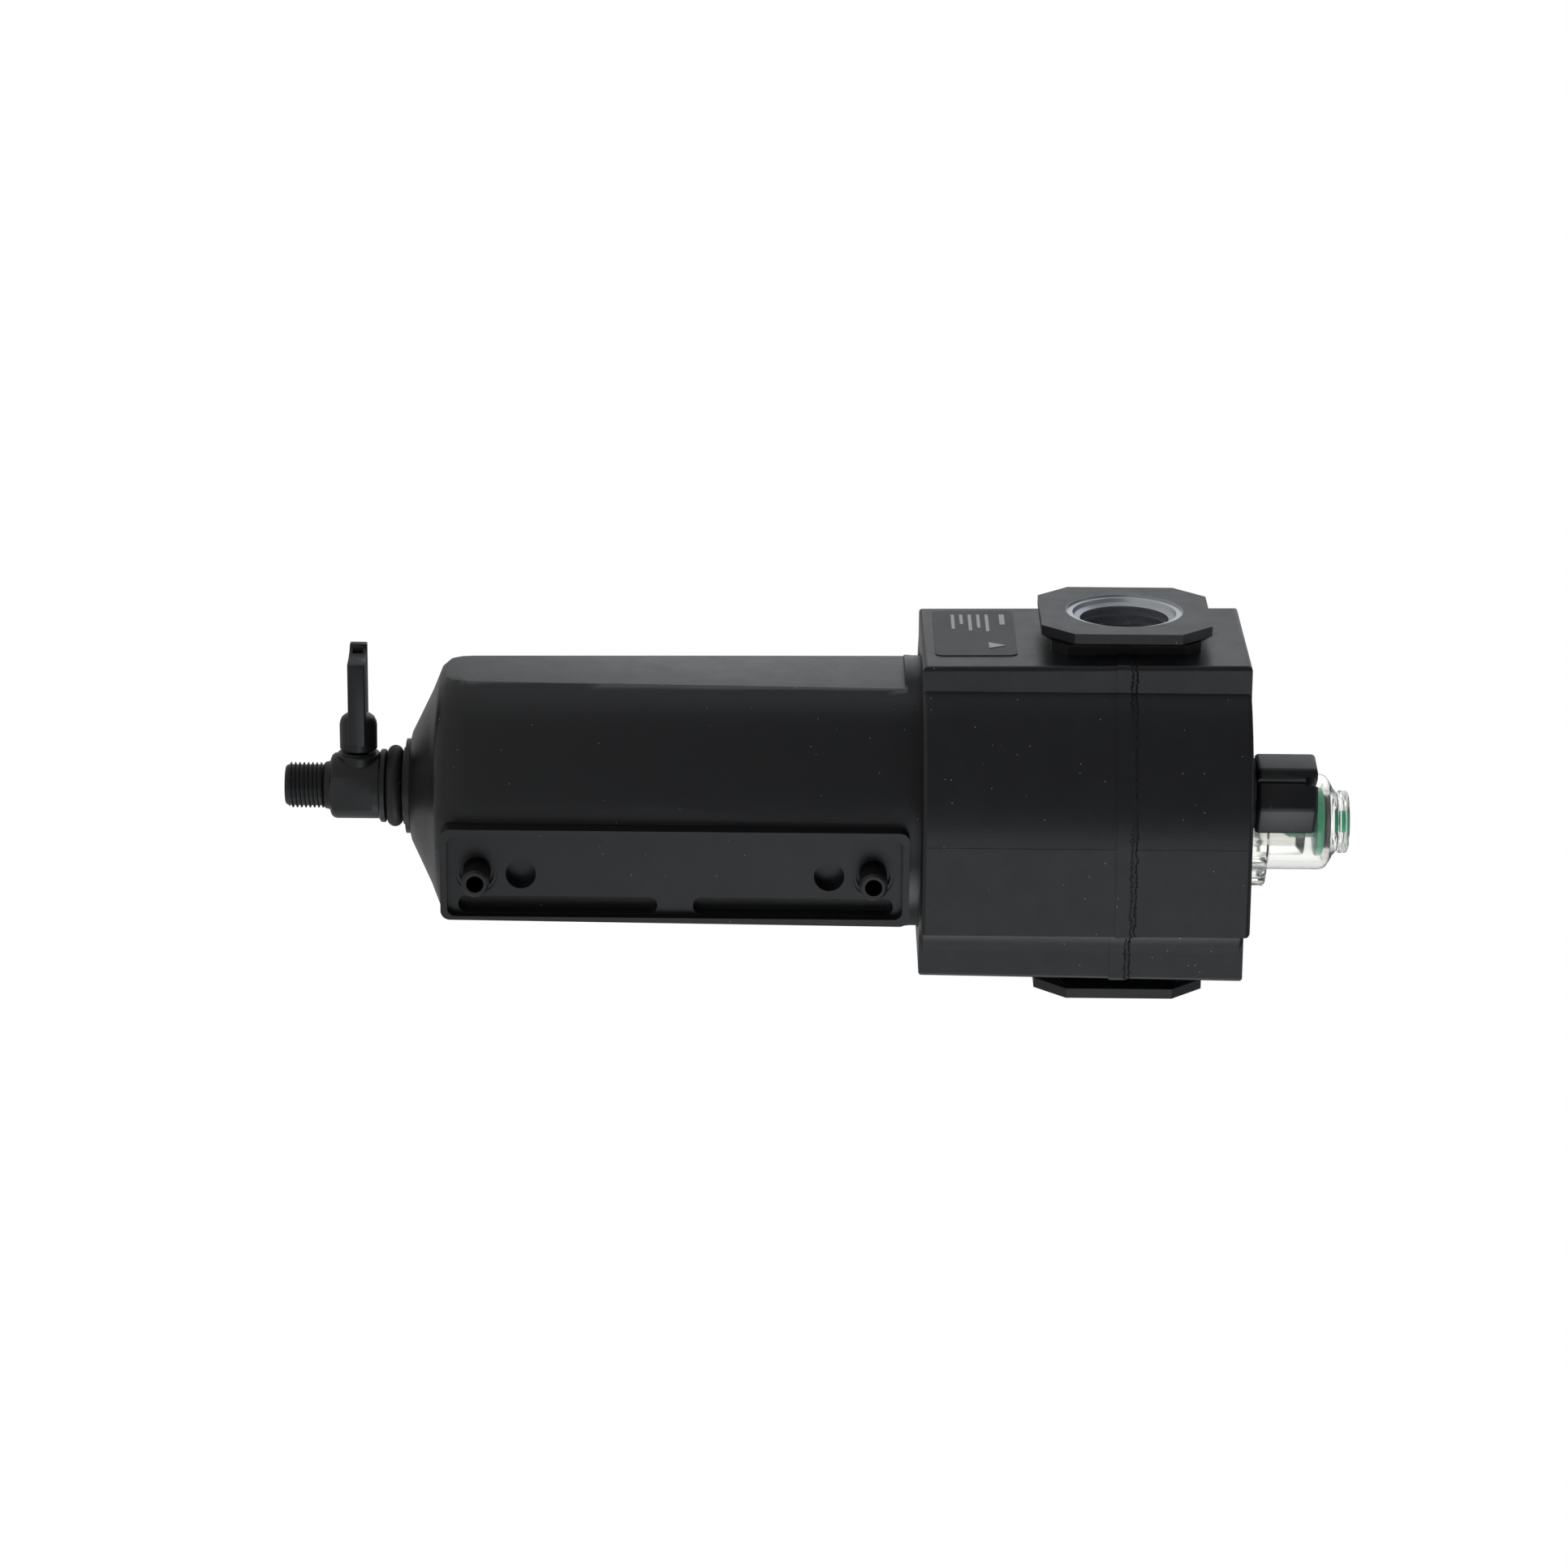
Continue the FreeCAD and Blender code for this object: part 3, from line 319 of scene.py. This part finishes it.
# the witness strip round the casting has a ragged crease along its upper edge, which stops at the flanges
ragged = add_node(head_tree, "ShaderNodeTexNoise", scale=700.0, detail=5.0, roughness=0.7)
head_link(head_place.outputs["Object"], ragged.inputs["Vector"])
ragged_reach = 0.0022
crease_height = 0.0023
casting_half_length = 0.0352
strip_place = add_node(head_tree, "ShaderNodeMath", operation="MULTIPLY_ADD")
strip_place.inputs[1].default_value = ragged_reach
head_link(ragged.outputs["Fac"], strip_place.inputs[0])
head_link(head_split.outputs["Z"], strip_place.inputs[2])
crease = add_node(head_tree, "ShaderNodeMapRange", interpolation_type="SMOOTHSTEP")
crease_from_middle = add_node(head_tree, "ShaderNodeMath", operation="SUBTRACT")
crease_from_middle.inputs[1].default_value = crease_height
head_link(strip_place.outputs[0], crease_from_middle.inputs[0])
crease_distance = add_node(head_tree, "ShaderNodeMath", operation="ABSOLUTE")
head_link(crease_from_middle.outputs[0], crease_distance.inputs[0])
crease.inputs["From Min"].default_value = 0.0002
crease.inputs["From Max"].default_value = 0.0007
head_link(crease_distance.outputs[0], crease.inputs["Value"])
past_casting = add_node(head_tree, "ShaderNodeMath", operation="GREATER_THAN")
past_casting.inputs[1].default_value = casting_half_length
head_link(from_middle.outputs[0], past_casting.inputs[0])
crease_depth = add_node(head_tree, "ShaderNodeMath", operation="MAXIMUM")
head_link(past_casting.outputs[0], crease_depth.inputs[0])
head_link(crease.outputs["Result"], crease_depth.inputs[1])
crease_bump = add_node(head_tree, "ShaderNodeBump", distance=0.0004, strength=0.8)
head_link(crease_depth.outputs[0], crease_bump.inputs["Height"])
head_link(head_shader.inputs["Normal"].links[0].from_socket, crease_bump.inputs["Normal"])
head_link(crease_bump.outputs["Normal"], head_shader.inputs["Normal"])

head_casting = smooth_copy("head_body", "head_casting")
head_casting.data.materials.append(head_paint)
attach(head_casting, "head")
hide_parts("head_body")

# The bowl is a die casting in the same satin black paint, with the gauge seat cast
# on its front. It hangs in the head by three bayonet lugs.
bowl_paint = finish_material("bowl_paint", (0.0075, 0.0079, 0.0091), (0.0115, 0.0120, 0.0136), (0.26, 0.40),
                             grain_scale=1500.0, grain_bump=0.22)
bowl_casting = smooth_copy("bowl", "bowl_casting")
bowl_casting.data.materials.append(bowl_paint)
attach(bowl_casting, "bowl")
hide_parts("bowl")

# The rating label is a thin grey foil plate stuck to the inlet side. Its print is replaced by plain bars
# and a flow arrow, laid on as a very thin film.
label_foil = finish_material("label_foil", (0.060, 0.061, 0.064), (0.095, 0.096, 0.100), (0.42, 0.6),
                             grain_scale=3000.0, grain_bump=0.1, dust_share=0.2)
nodes["rating_label"].data.materials.clear()
nodes["rating_label"].data.materials.append(label_foil)
label_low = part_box("rating_label")[0]
print_bars = []
film = 0.00004
bar_start_y = 0.0158
side_draft = 0.011
head_foot_z = -0.0425
# each bar's height on the label, its width and its length
bars = ((0.0136, 0.0011, 0.0075), (0.0104, 0.0007, 0.0125), (0.0086, 0.0007, 0.0098),
        (0.0068, 0.0007, 0.0118), (0.0050, 0.0007, 0.0070), (0.0032, 0.0007, 0.0105))
for height, width, length in bars:
    middle_z = label_low.z + height + 0.001
    lean = (middle_z - head_foot_z) * side_draft
    bpy.ops.object.select_all(action="DESELECT")
    middle_y = bar_start_y - length / 2.0
    bpy.ops.mesh.primitive_cube_add(size=1.0, location=(-0.03408 - lean, middle_y, middle_z))
    bar = bpy.context.object
    bar.scale = (film, length, width)
    bpy.ops.object.transform_apply(location=True, rotation=True, scale=True)
    bpy.ops.object.mode_set(mode="EDIT")
    bpy.ops.mesh.select_all(action="SELECT")
    bpy.ops.mesh.subdivide(number_cuts=1)
    bpy.ops.object.mode_set(mode="OBJECT")
    print_bars.append(bar)
bpy.ops.object.select_all(action="DESELECT")
bpy.ops.mesh.primitive_circle_add(vertices=3, radius=0.0024, fill_type="NGON", location=(0, 0, 0))
arrow = bpy.context.object
arrow.rotation_euler = (math.radians(90.0), 0, math.radians(90.0))
arrow.location = (-0.0343, -0.0072, label_low.z + 0.0125)
bpy.ops.object.transform_apply(location=True, rotation=True, scale=True)
bpy.ops.object.mode_set(mode="EDIT")
bpy.ops.mesh.select_all(action="SELECT")
bpy.ops.mesh.extrude_region_move(TRANSFORM_OT_translate={"value": (-film, 0, 0)})
bpy.ops.object.mode_set(mode="OBJECT")
print_bars.append(arrow)
bpy.ops.object.select_all(action="DESELECT")
for bar in print_bars:
    bar.select_set(True)
bpy.context.view_layer.objects.active = print_bars[0]
bpy.ops.object.join()
label_print = bpy.context.object
label_print.name = "label_print"
bpy.ops.object.mode_set(mode="EDIT")
bpy.ops.mesh.select_all(action="SELECT")
bpy.ops.mesh.normals_make_consistent(inside=False)
bpy.ops.object.mode_set(mode="OBJECT")
label_ink = finish_material("label_ink", (0.72, 0.73, 0.74), (0.88, 0.88, 0.89), (0.5, 0.65), dust_share=0.0)
label_print.data.materials.append(label_ink)
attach(label_print, "head")

# The sight dome is moulded clear plastic: a notched flange on the head, a round barrel with stepped
# shoulders and a small rimmed top, all one thin wall. It screws into the head.
dome_x = 0.0076
dome_y = 0.0044


def grow(name, x, y, rings, sides=96, hollow=False):
    """A round piece drawn up from a circle: each ring is the next radius and height, in millimetres."""
    bpy.ops.object.select_all(action="DESELECT")
    radius, z = rings[0][0] / 1000.0, rings[0][1] / 1000.0
    bpy.ops.mesh.primitive_circle_add(vertices=sides, radius=radius, location=(x, y, z))
    piece = bpy.context.object
    piece.name = name
    bpy.ops.object.mode_set(mode="EDIT")
    bpy.ops.mesh.select_all(action="SELECT")
    for next_radius, next_z in rings[1:]:
        next_radius /= 1000.0
        next_z /= 1000.0
        bpy.ops.mesh.extrude_region_move(TRANSFORM_OT_translate={"value": (0, 0, next_z - z)})
        size = next_radius / radius
        bpy.ops.transform.resize(value=(size, size, 1), center_override=(x, y, next_z))
        radius, z = next_radius, next_z
    bpy.ops.mesh.select_all(action="DESELECT")
    bpy.ops.mesh.select_non_manifold()
    if hollow:
        bpy.ops.mesh.bridge_edge_loops()
    else:
        bpy.ops.mesh.select_all(action="SELECT")
        bpy.ops.mesh.fill_holes(sides=0)
    bpy.ops.object.mode_set(mode="OBJECT")
    return piece


def settle(piece, smooth_angle=32.0):
    """Weld the piece, turn its faces outwards, smooth it and put its object at the origin."""
    activate(piece)
    bpy.ops.object.transform_apply(location=True, rotation=True, scale=True)
    bpy.ops.object.mode_set(mode="EDIT")
    bpy.ops.mesh.select_all(action="SELECT")
    bpy.ops.mesh.remove_doubles(threshold=0.000002)
    bpy.ops.mesh.normals_make_consistent(inside=False)
    bpy.ops.object.mode_set(mode="OBJECT")
    bpy.ops.object.shade_smooth_by_angle(angle=math.radians(smooth_angle))


def soften(piece, width, segments=3, angle=35.0):
    """Round the piece's sharp edges by width metres."""
    activate(piece)
    bevel = piece.modifiers.new("soften", "BEVEL")
    bevel.width = width
    bevel.segments = segments
    bevel.limit_method = "ANGLE"
    bevel.angle_limit = math.radians(angle)
    bpy.ops.object.modifier_apply(modifier=bevel.name)


def carve(piece, cutter):
    """Cut one solid out of another and remove the cutter."""
    activate(piece)
    cut = piece.modifiers.new("cut", "BOOLEAN")
    cut.operation = "DIFFERENCE"
    cut.solver = "EXACT"
    cut.object = cutter
    bpy.ops.object.modifier_apply(modifier=cut.name)
    bpy.data.objects.remove(cutter)


def box_piece(x, y, z, turn=0.0):
    """A box between two values on each axis, in metres, turned about the upright axis at its middle."""
    bpy.ops.object.select_all(action="DESELECT")
    middle = [(pair[0] + pair[1]) / 2.0 for pair in (x, y, z)]
    bpy.ops.mesh.primitive_cube_add(size=1.0, location=middle)
    piece = bpy.context.object
    piece.scale = (x[1] - x[0], y[1] - y[0], z[1] - z[0])
    piece.rotation_euler = (0, 0, turn)
    bpy.ops.object.transform_apply(location=True, rotation=True, scale=True)
    return piece


def clear_material(name, tint, gloss, ior):
    """Clear plastic with faint haze patches and a little dust."""
    material = finish_material(name, tint, tint, gloss, grain_scale=600.0, grain_bump=0.02, dust_share=0.05,
                               dust_tone=0.5)
    shader = material.node_tree.nodes["Principled BSDF"]
    shader.inputs["Transmission Weight"].default_value = 1.0
    shader.inputs["IOR"].default_value = ior
    return material


dome_plastic = clear_material("dome_plastic", (0.90, 0.905, 0.88), (0.06, 0.16), 1.40)
sight_dome = grow("sight_dome_moulding", dome_x, dome_y, [
    (8.9, 18.1), (10.2, 18.1), (10.2, 25.52), (13.6, 25.52), (13.9, 25.8), (13.9, 30.8), (13.5, 31.15),
    (10.9, 31.2), (10.35, 31.6), (10.2, 32.2), (10.2, 42.6), (10.05, 43.5), (9.7, 44.15), (9.1, 44.6),
    (8.8, 44.7), (8.6, 44.95), (7.9, 45.35), (7.2, 45.65), (7.0, 45.95), (6.45, 46.3), (6.3, 46.6),
    (6.4, 46.95), (6.65, 47.15), (6.7, 47.5), (6.55, 47.8), (6.55, 48.0), (6.65, 48.3), (6.5, 48.75),
    (6.0, 48.98), (5.2, 48.98), (4.9, 48.7), (4.75, 48.2), (4.6, 46.6), (2.55, 46.1), (2.55, 44.95),
    (6.9, 44.75), (8.2, 44.1), (8.75, 43.3), (8.9, 42.4)], hollow=True)
notch_count = 8
notch_reach = 0.01285
for number in range(notch_count):
    turn = math.radians(360.0 / notch_count * (number + 0.5))
    notch_x = dome_x + notch_reach * math.cos(turn)
    notch_y = dome_y + notch_reach * math.sin(turn)
    notch = box_piece((notch_x - 0.0015, notch_x + 0.0015), (notch_y - 0.0017, notch_y + 0.0017),
                      (0.0271, 0.0325), turn)
    carve(sight_dome, notch)
soften(sight_dome, 0.00025, 2, 50.0)
settle(sight_dome)
sight_dome.data.materials.append(dome_plastic)
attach(sight_dome, "head")
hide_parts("sight_dome")

# Inside the dome stands the drip tube, a thick clear sleeve with a funnel mouth. Oil drops fall into it.
tube_plastic = clear_material("tube_plastic", (0.90, 0.905, 0.88), (0.06, 0.16), 1.25)
drip_tube = grow("drip_tube_moulding", dome_x, dome_y, [
    (4.25, 18.05), (7.0, 18.05), (7.1, 18.3), (7.1, 24.0), (6.8, 24.3), (6.8, 24.9), (7.1, 25.2), (7.1, 39.0),
    (6.9, 39.4), (6.2, 39.48), (5.6, 39.0), (4.25, 37.5)], hollow=True)
settle(drip_tube)
drip_tube.data.materials.append(tube_plastic)
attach(drip_tube, "head")
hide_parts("drip_tube")

# The oil adjuster is one green moulding: a wide disc under the dome's shoulder, a slotted stem up
# through the top and a tapered needle below. A black ring seals it.
green_moulding = finish_material("green_moulding", (0.02, 0.30, 0.15), (0.035, 0.40, 0.21), (0.22, 0.36),
                                 grain_scale=2500.0, grain_bump=0.06, dust_share=0.04)
adjuster = grow("oil_adjuster", dome_x, dome_y, [
    (0.3, 31.1), (1.35, 33.0), (3.2, 35.9), (3.4, 36.3), (3.4, 41.7), (3.6, 41.82), (7.1, 41.82),
    (7.3, 42.0), (7.3, 43.3), (7.1, 43.5), (4.7, 43.5), (4.55, 43.58), (2.6, 43.58), (2.33, 43.9),
    (2.33, 48.3), (2.1, 48.55), (0.4, 48.58)])
carve(adjuster, box_piece((dome_x - 0.003, dome_x + 0.003), (dome_y - 0.0004, dome_y + 0.0004),
                          (0.0474, 0.0492)))
settle(adjuster)
adjuster.data.materials.append(green_moulding)
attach(adjuster, "adjuster")
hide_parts("adjusting_screw")

# The fill plug is a black nylon moulding: a six-sided knob with a flute down each end of its coin slot,
# on a coarse thread. The knob's corners and top edge are rounded.
plug_x = -0.0049
plug_y = -0.0151
black_nylon = finish_material("black_nylon", (0.0085, 0.0088, 0.0098), (0.013, 0.0133, 0.0145), (0.26, 0.42),
                              grain_scale=2600.0, grain_bump=0.18, dust_share=0.16)
bpy.ops.object.select_all(action="DESELECT")
bpy.ops.mesh.primitive_circle_add(vertices=6, radius=0.00855, location=(plug_x, plug_y, 0.0273))
fill_plug = bpy.context.object
fill_plug.name = "fill_plug_knob"
bpy.ops.object.mode_set(mode="EDIT")
bpy.ops.mesh.select_all(action="SELECT")
bpy.ops.mesh.edge_face_add()
bpy.ops.mesh.extrude_region_move(TRANSFORM_OT_translate={"value": (0, 0, 0.0127)})
bpy.ops.object.mode_set(mode="OBJECT")
fill_plug.rotation_euler = (0, 0, math.radians(6.5))
bpy.ops.object.transform_apply(location=True, rotation=True, scale=True)
soften(fill_plug, 0.0009, 4)
flute_turn = math.radians(233.0)
flute_reach = 0.0083
flute_half = 0.00085
for way in (0.0, math.pi):
    flute_x = plug_x + flute_reach * math.cos(flute_turn + way)
    flute_y = plug_y + flute_reach * math.sin(flute_turn + way)
    carve(fill_plug, box_piece((flute_x - flute_half, flute_x + flute_half),
                               (flute_y - flute_half, flute_y + flute_half),
                               (0.026, 0.042), flute_turn + math.radians(45.0)))
carve(fill_plug, box_piece((plug_x - 0.012, plug_x + 0.012), (plug_y - 0.0009, plug_y + 0.0009),
                           (0.0374, 0.042), flute_turn))
settle(fill_plug)
fill_plug.data.materials.append(black_nylon)
plug_rings = [(5.9, 27.32), (5.9, 25.6), (4.9, 25.55), (4.9, 24.7)]
plug_pitch = 1.5
plug_turns = 6
for turn in range(plug_turns):
    top = 24.6 - plug_pitch * turn
    plug_rings += [(5.3, top - 0.1), (5.3, top - 0.45), (4.5, top - 0.9), (4.5, top - 1.05)]
plug_rings += [(4.6, 15.4), (4.2, 15.1)]
plug_shank = grow("fill_plug_shank", plug_x, plug_y, plug_rings, 64)
settle(plug_shank)
plug_shank.data.materials.append(black_nylon)
for piece in (fill_plug, plug_shank):
    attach(piece, "fill_plug")
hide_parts("fill_plug")

# The drain body is black nylon: a stud through the bowl's floor, a flange, a barrel with two wrench
# flats and rounded foot, a neck, and a helical outlet thread. A nut inside the bowl holds it.
drain_body = grow("drain_barrel", 0.0, 0.0, [
    (4.85, -139.7), (4.85, -151.3), (4.6, -151.6), (4.6, -155.1), (7.6, -155.12), (7.78, -155.3),
    (7.78, -156.1), (7.5, -156.35), (7.0, -156.6), (7.0, -165.5), (6.85, -166.1), (6.45, -166.6),
    (5.9, -166.85), (5.35, -166.9), (5.1, -167.2), (4.95, -168.0), (4.35, -168.5), (4.33, -175.9),
    (4.0, -176.4), (3.7, -176.48),
    (1.8, -176.48), (1.7, -176.3), (1.7, -139.7)], 96, hollow=True)
for side in (-1, 1):
    near, far = sorted((side * 0.0059, side * 0.009))
    carve(drain_body, box_piece((-0.009, 0.009), (near, far), (-0.1674, -0.1579)))
settle(drain_body)
drain_body.data.materials.append(black_nylon)


def lay_along_x(piece, height):
    """Turn a piece drawn up from the origin so that its top points to -X, at the given height."""
    activate(piece)
    bpy.ops.object.transform_apply(location=True, rotation=True, scale=True)
    piece.rotation_euler = (0, math.radians(-90.0), 0)
    piece.location = (0, 0, height)
    settle(piece)


stem_height = -0.16095
drain_boss = grow("drain_boss", 0.0, 0.0, [
    (4.6, 4.0), (4.6, 7.0), (4.3, 7.35), (3.9, 7.4), (3.7, 7.7), (1.0, 7.72)], 64)
lay_along_x(drain_boss, stem_height)
drain_boss.data.materials.append(black_nylon)

bpy.ops.object.select_all(action="DESELECT")
thread_middle = 0.0044
outlet_pitch = 0.000907
winding_steps = 48
bpy.ops.mesh.primitive_plane_add(size=1.0, location=(thread_middle, 0, -0.17575))
outlet_thread = bpy.context.object
outlet_thread.name = "outlet_thread"
outlet_thread.rotation_euler = (math.radians(90.0), 0, 0)
outlet_thread.scale = (0.0009, 0.00082, 1)
bpy.ops.object.transform_apply(location=True, rotation=True, scale=True)
pick(outlet_thread, lambda place: place.x > thread_middle)
bpy.ops.transform.resize(value=(1, 1, 0.18))
bpy.ops.object.mode_set(mode="OBJECT")
wind = outlet_thread.modifiers.new("wind", "SCREW")
wind.axis = "Z"
wind.steps = winding_steps
wind.render_steps = winding_steps
wind.screw_offset = outlet_pitch
wind.iterations = 8
bpy.ops.object.modifier_apply(modifier=wind.name)
bpy.ops.object.mode_set(mode="EDIT")
bpy.ops.mesh.select_all(action="SELECT")
bpy.ops.mesh.fill_holes(sides=0)
bpy.ops.object.mode_set(mode="OBJECT")
settle(outlet_thread, 25.0)
outlet_thread.data.materials.append(black_nylon)
for piece in (drain_body, drain_boss, outlet_thread):
    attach(piece, "bowl")
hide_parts("drain_body")

# The drain handle is a second nylon moulding: a round-topped hub on the stem and a flat wing whose end
# is scooped for a fingertip, with a small core pocket left by the mould.
handle_hub = grow("drain_handle_hub", 0.0, 0.0, [
    (2.2, 7.8), (2.2, 8.15), (3.7, 8.2), (3.95, 8.45), (3.97, 13.5), (3.85, 14.3), (3.5, 15.1), (2.9, 15.6),
    (1.9, 15.88), (0.3, 15.98)], 72)
lay_along_x(handle_hub, stem_height)
handle_hub.data.materials.append(black_nylon)

wing_thickness = 0.00365
wing_back = 0.0050
# where the scooped end is measured along the wing, and how wide it is there
wing_stations = ((-0.0279, 0.0100), (-0.0281, 0.0086), (-0.0284, 0.0070), (-0.0285, 0.0052),
                 (-0.0288, 0.0036), (-0.0295, 0.0025), (-0.0303, 0.0020))
bpy.ops.object.select_all(action="DESELECT")
bpy.ops.mesh.primitive_plane_add(size=1.0, location=(-0.0190, 0, stem_height - wing_thickness / 2.0))
handle_wing = bpy.context.object
handle_wing.name = "drain_handle_wing"
handle_wing.scale = (0.0178, 0.0100, 1)
bpy.ops.object.transform_apply(location=True, rotation=True, scale=True)
pick(handle_wing, lambda place: place.x < -0.0270)
old_x, old_width = wing_stations[0]
for next_x, next_width in wing_stations[1:]:
    bpy.ops.mesh.extrude_region_move(TRANSFORM_OT_translate={"value": (next_x - old_x, 0, 0)})
    bpy.ops.transform.resize(value=(1, next_width / old_width, 1),
                             center_override=(next_x, wing_back, stem_height))
    old_x, old_width = next_x, next_width
bpy.ops.mesh.select_all(action="SELECT")
bpy.ops.mesh.extrude_region_move(TRANSFORM_OT_translate={"value": (0, 0, wing_thickness)})
bpy.ops.mesh.select_all(action="SELECT")
bpy.ops.mesh.normals_make_consistent(inside=False)
bpy.ops.object.mode_set(mode="OBJECT")
soften(handle_wing, 0.0003, 3, 30.0)
carve(handle_wing, box_piece((-0.0310, -0.0280), (0.0012, 0.0026),
                             (stem_height - 0.0011, stem_height + 0.0011)))
settle(handle_wing)
handle_wing.data.materials.append(black_nylon)
for piece in (handle_hub, handle_wing):
    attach(piece, "drain_handle")
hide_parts("drain_handle")

# Two hollow gauge spigots are pressed into the seat, and a thin washer lies under the bowl's boss. All
# three are taken as black nylon.
for name in ("gauge_spigot_upper", "gauge_spigot_lower", "drain_washer"):
    piece = smooth_copy(name, name + "_moulding")
    piece.data.materials.append(black_nylon)
    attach(piece, "bowl")
    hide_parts(name)

# The seals are black nitrile rubber rings. The one under the bowl's boss and the plug's ring can be
# seen, the others lie in their grooves.
seal_rubber = finish_material("seal_rubber", (0.009, 0.009, 0.0095), (0.016, 0.016, 0.0165), (0.48, 0.66),
                              grain_scale=3500.0, grain_bump=0.12, dust_share=0.2)
seal_bodies = {"drain_grommet": "bowl", "bowl_seal": "bowl", "fill_plug_seal": "fill_plug_seal",
               "dome_seal": "head", "adjuster_seal": "adjuster", "drain_stem_seals": "drain_handle"}
for name, body in seal_bodies.items():
    piece = smooth_copy(name, name + "_ring")
    piece.data.materials.append(seal_rubber)
    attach(piece, body)
    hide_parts(name)

# Inside parts: brass fittings, steel balls and pin, a natural nylon pick-up tube, a sintered bronze
# strainer, and the acetal guide and vane in the air passage. They keep their made shapes.
turned_brass = finish_material("turned_brass", (0.52, 0.36, 0.13), (0.68, 0.50, 0.22), (0.22, 0.38),
                               metallic=1.0, grain_scale=900.0, grain_bump=0.08, dust_share=0.0)
ball_steel = finish_material("ball_steel", (0.50, 0.50, 0.51), (0.64, 0.64, 0.65), (0.14, 0.26), metallic=1.0,
                             grain_scale=2400.0, grain_bump=0.04, dust_share=0.0)
tube_nylon = finish_material("tube_nylon", (0.62, 0.61, 0.55), (0.74, 0.73, 0.67), (0.35, 0.5),
                             grain_scale=900.0, grain_bump=0.08, dust_share=0.02)
bronze_sinter = finish_material("bronze_sinter", (0.22, 0.13, 0.06), (0.46, 0.30, 0.15), (0.5, 0.7),
                                metallic=1.0, grain_scale=5200.0, grain_bump=0.9, dust_share=0.0)
white_acetal = finish_material("white_acetal", (0.66, 0.66, 0.63), (0.78, 0.78, 0.75), (0.28, 0.42),
                               grain_scale=2600.0, grain_bump=0.08, dust_share=0.03)
inside_finishes = {
    "siphon_adapter": turned_brass, "charge_valve_seat": turned_brass, "drain_nut": turned_brass,
    "siphon_ball": ball_steel, "charge_valve_ball": ball_steel, "vane_pin": ball_steel,
    "siphon_tube": tube_nylon, "siphon_strainer": bronze_sinter, "flow_guide": white_acetal,
    "flow_vane": white_acetal}
for name, finish in inside_finishes.items():
    nodes[name].data.materials.clear()
    nodes[name].data.materials.append(finish)
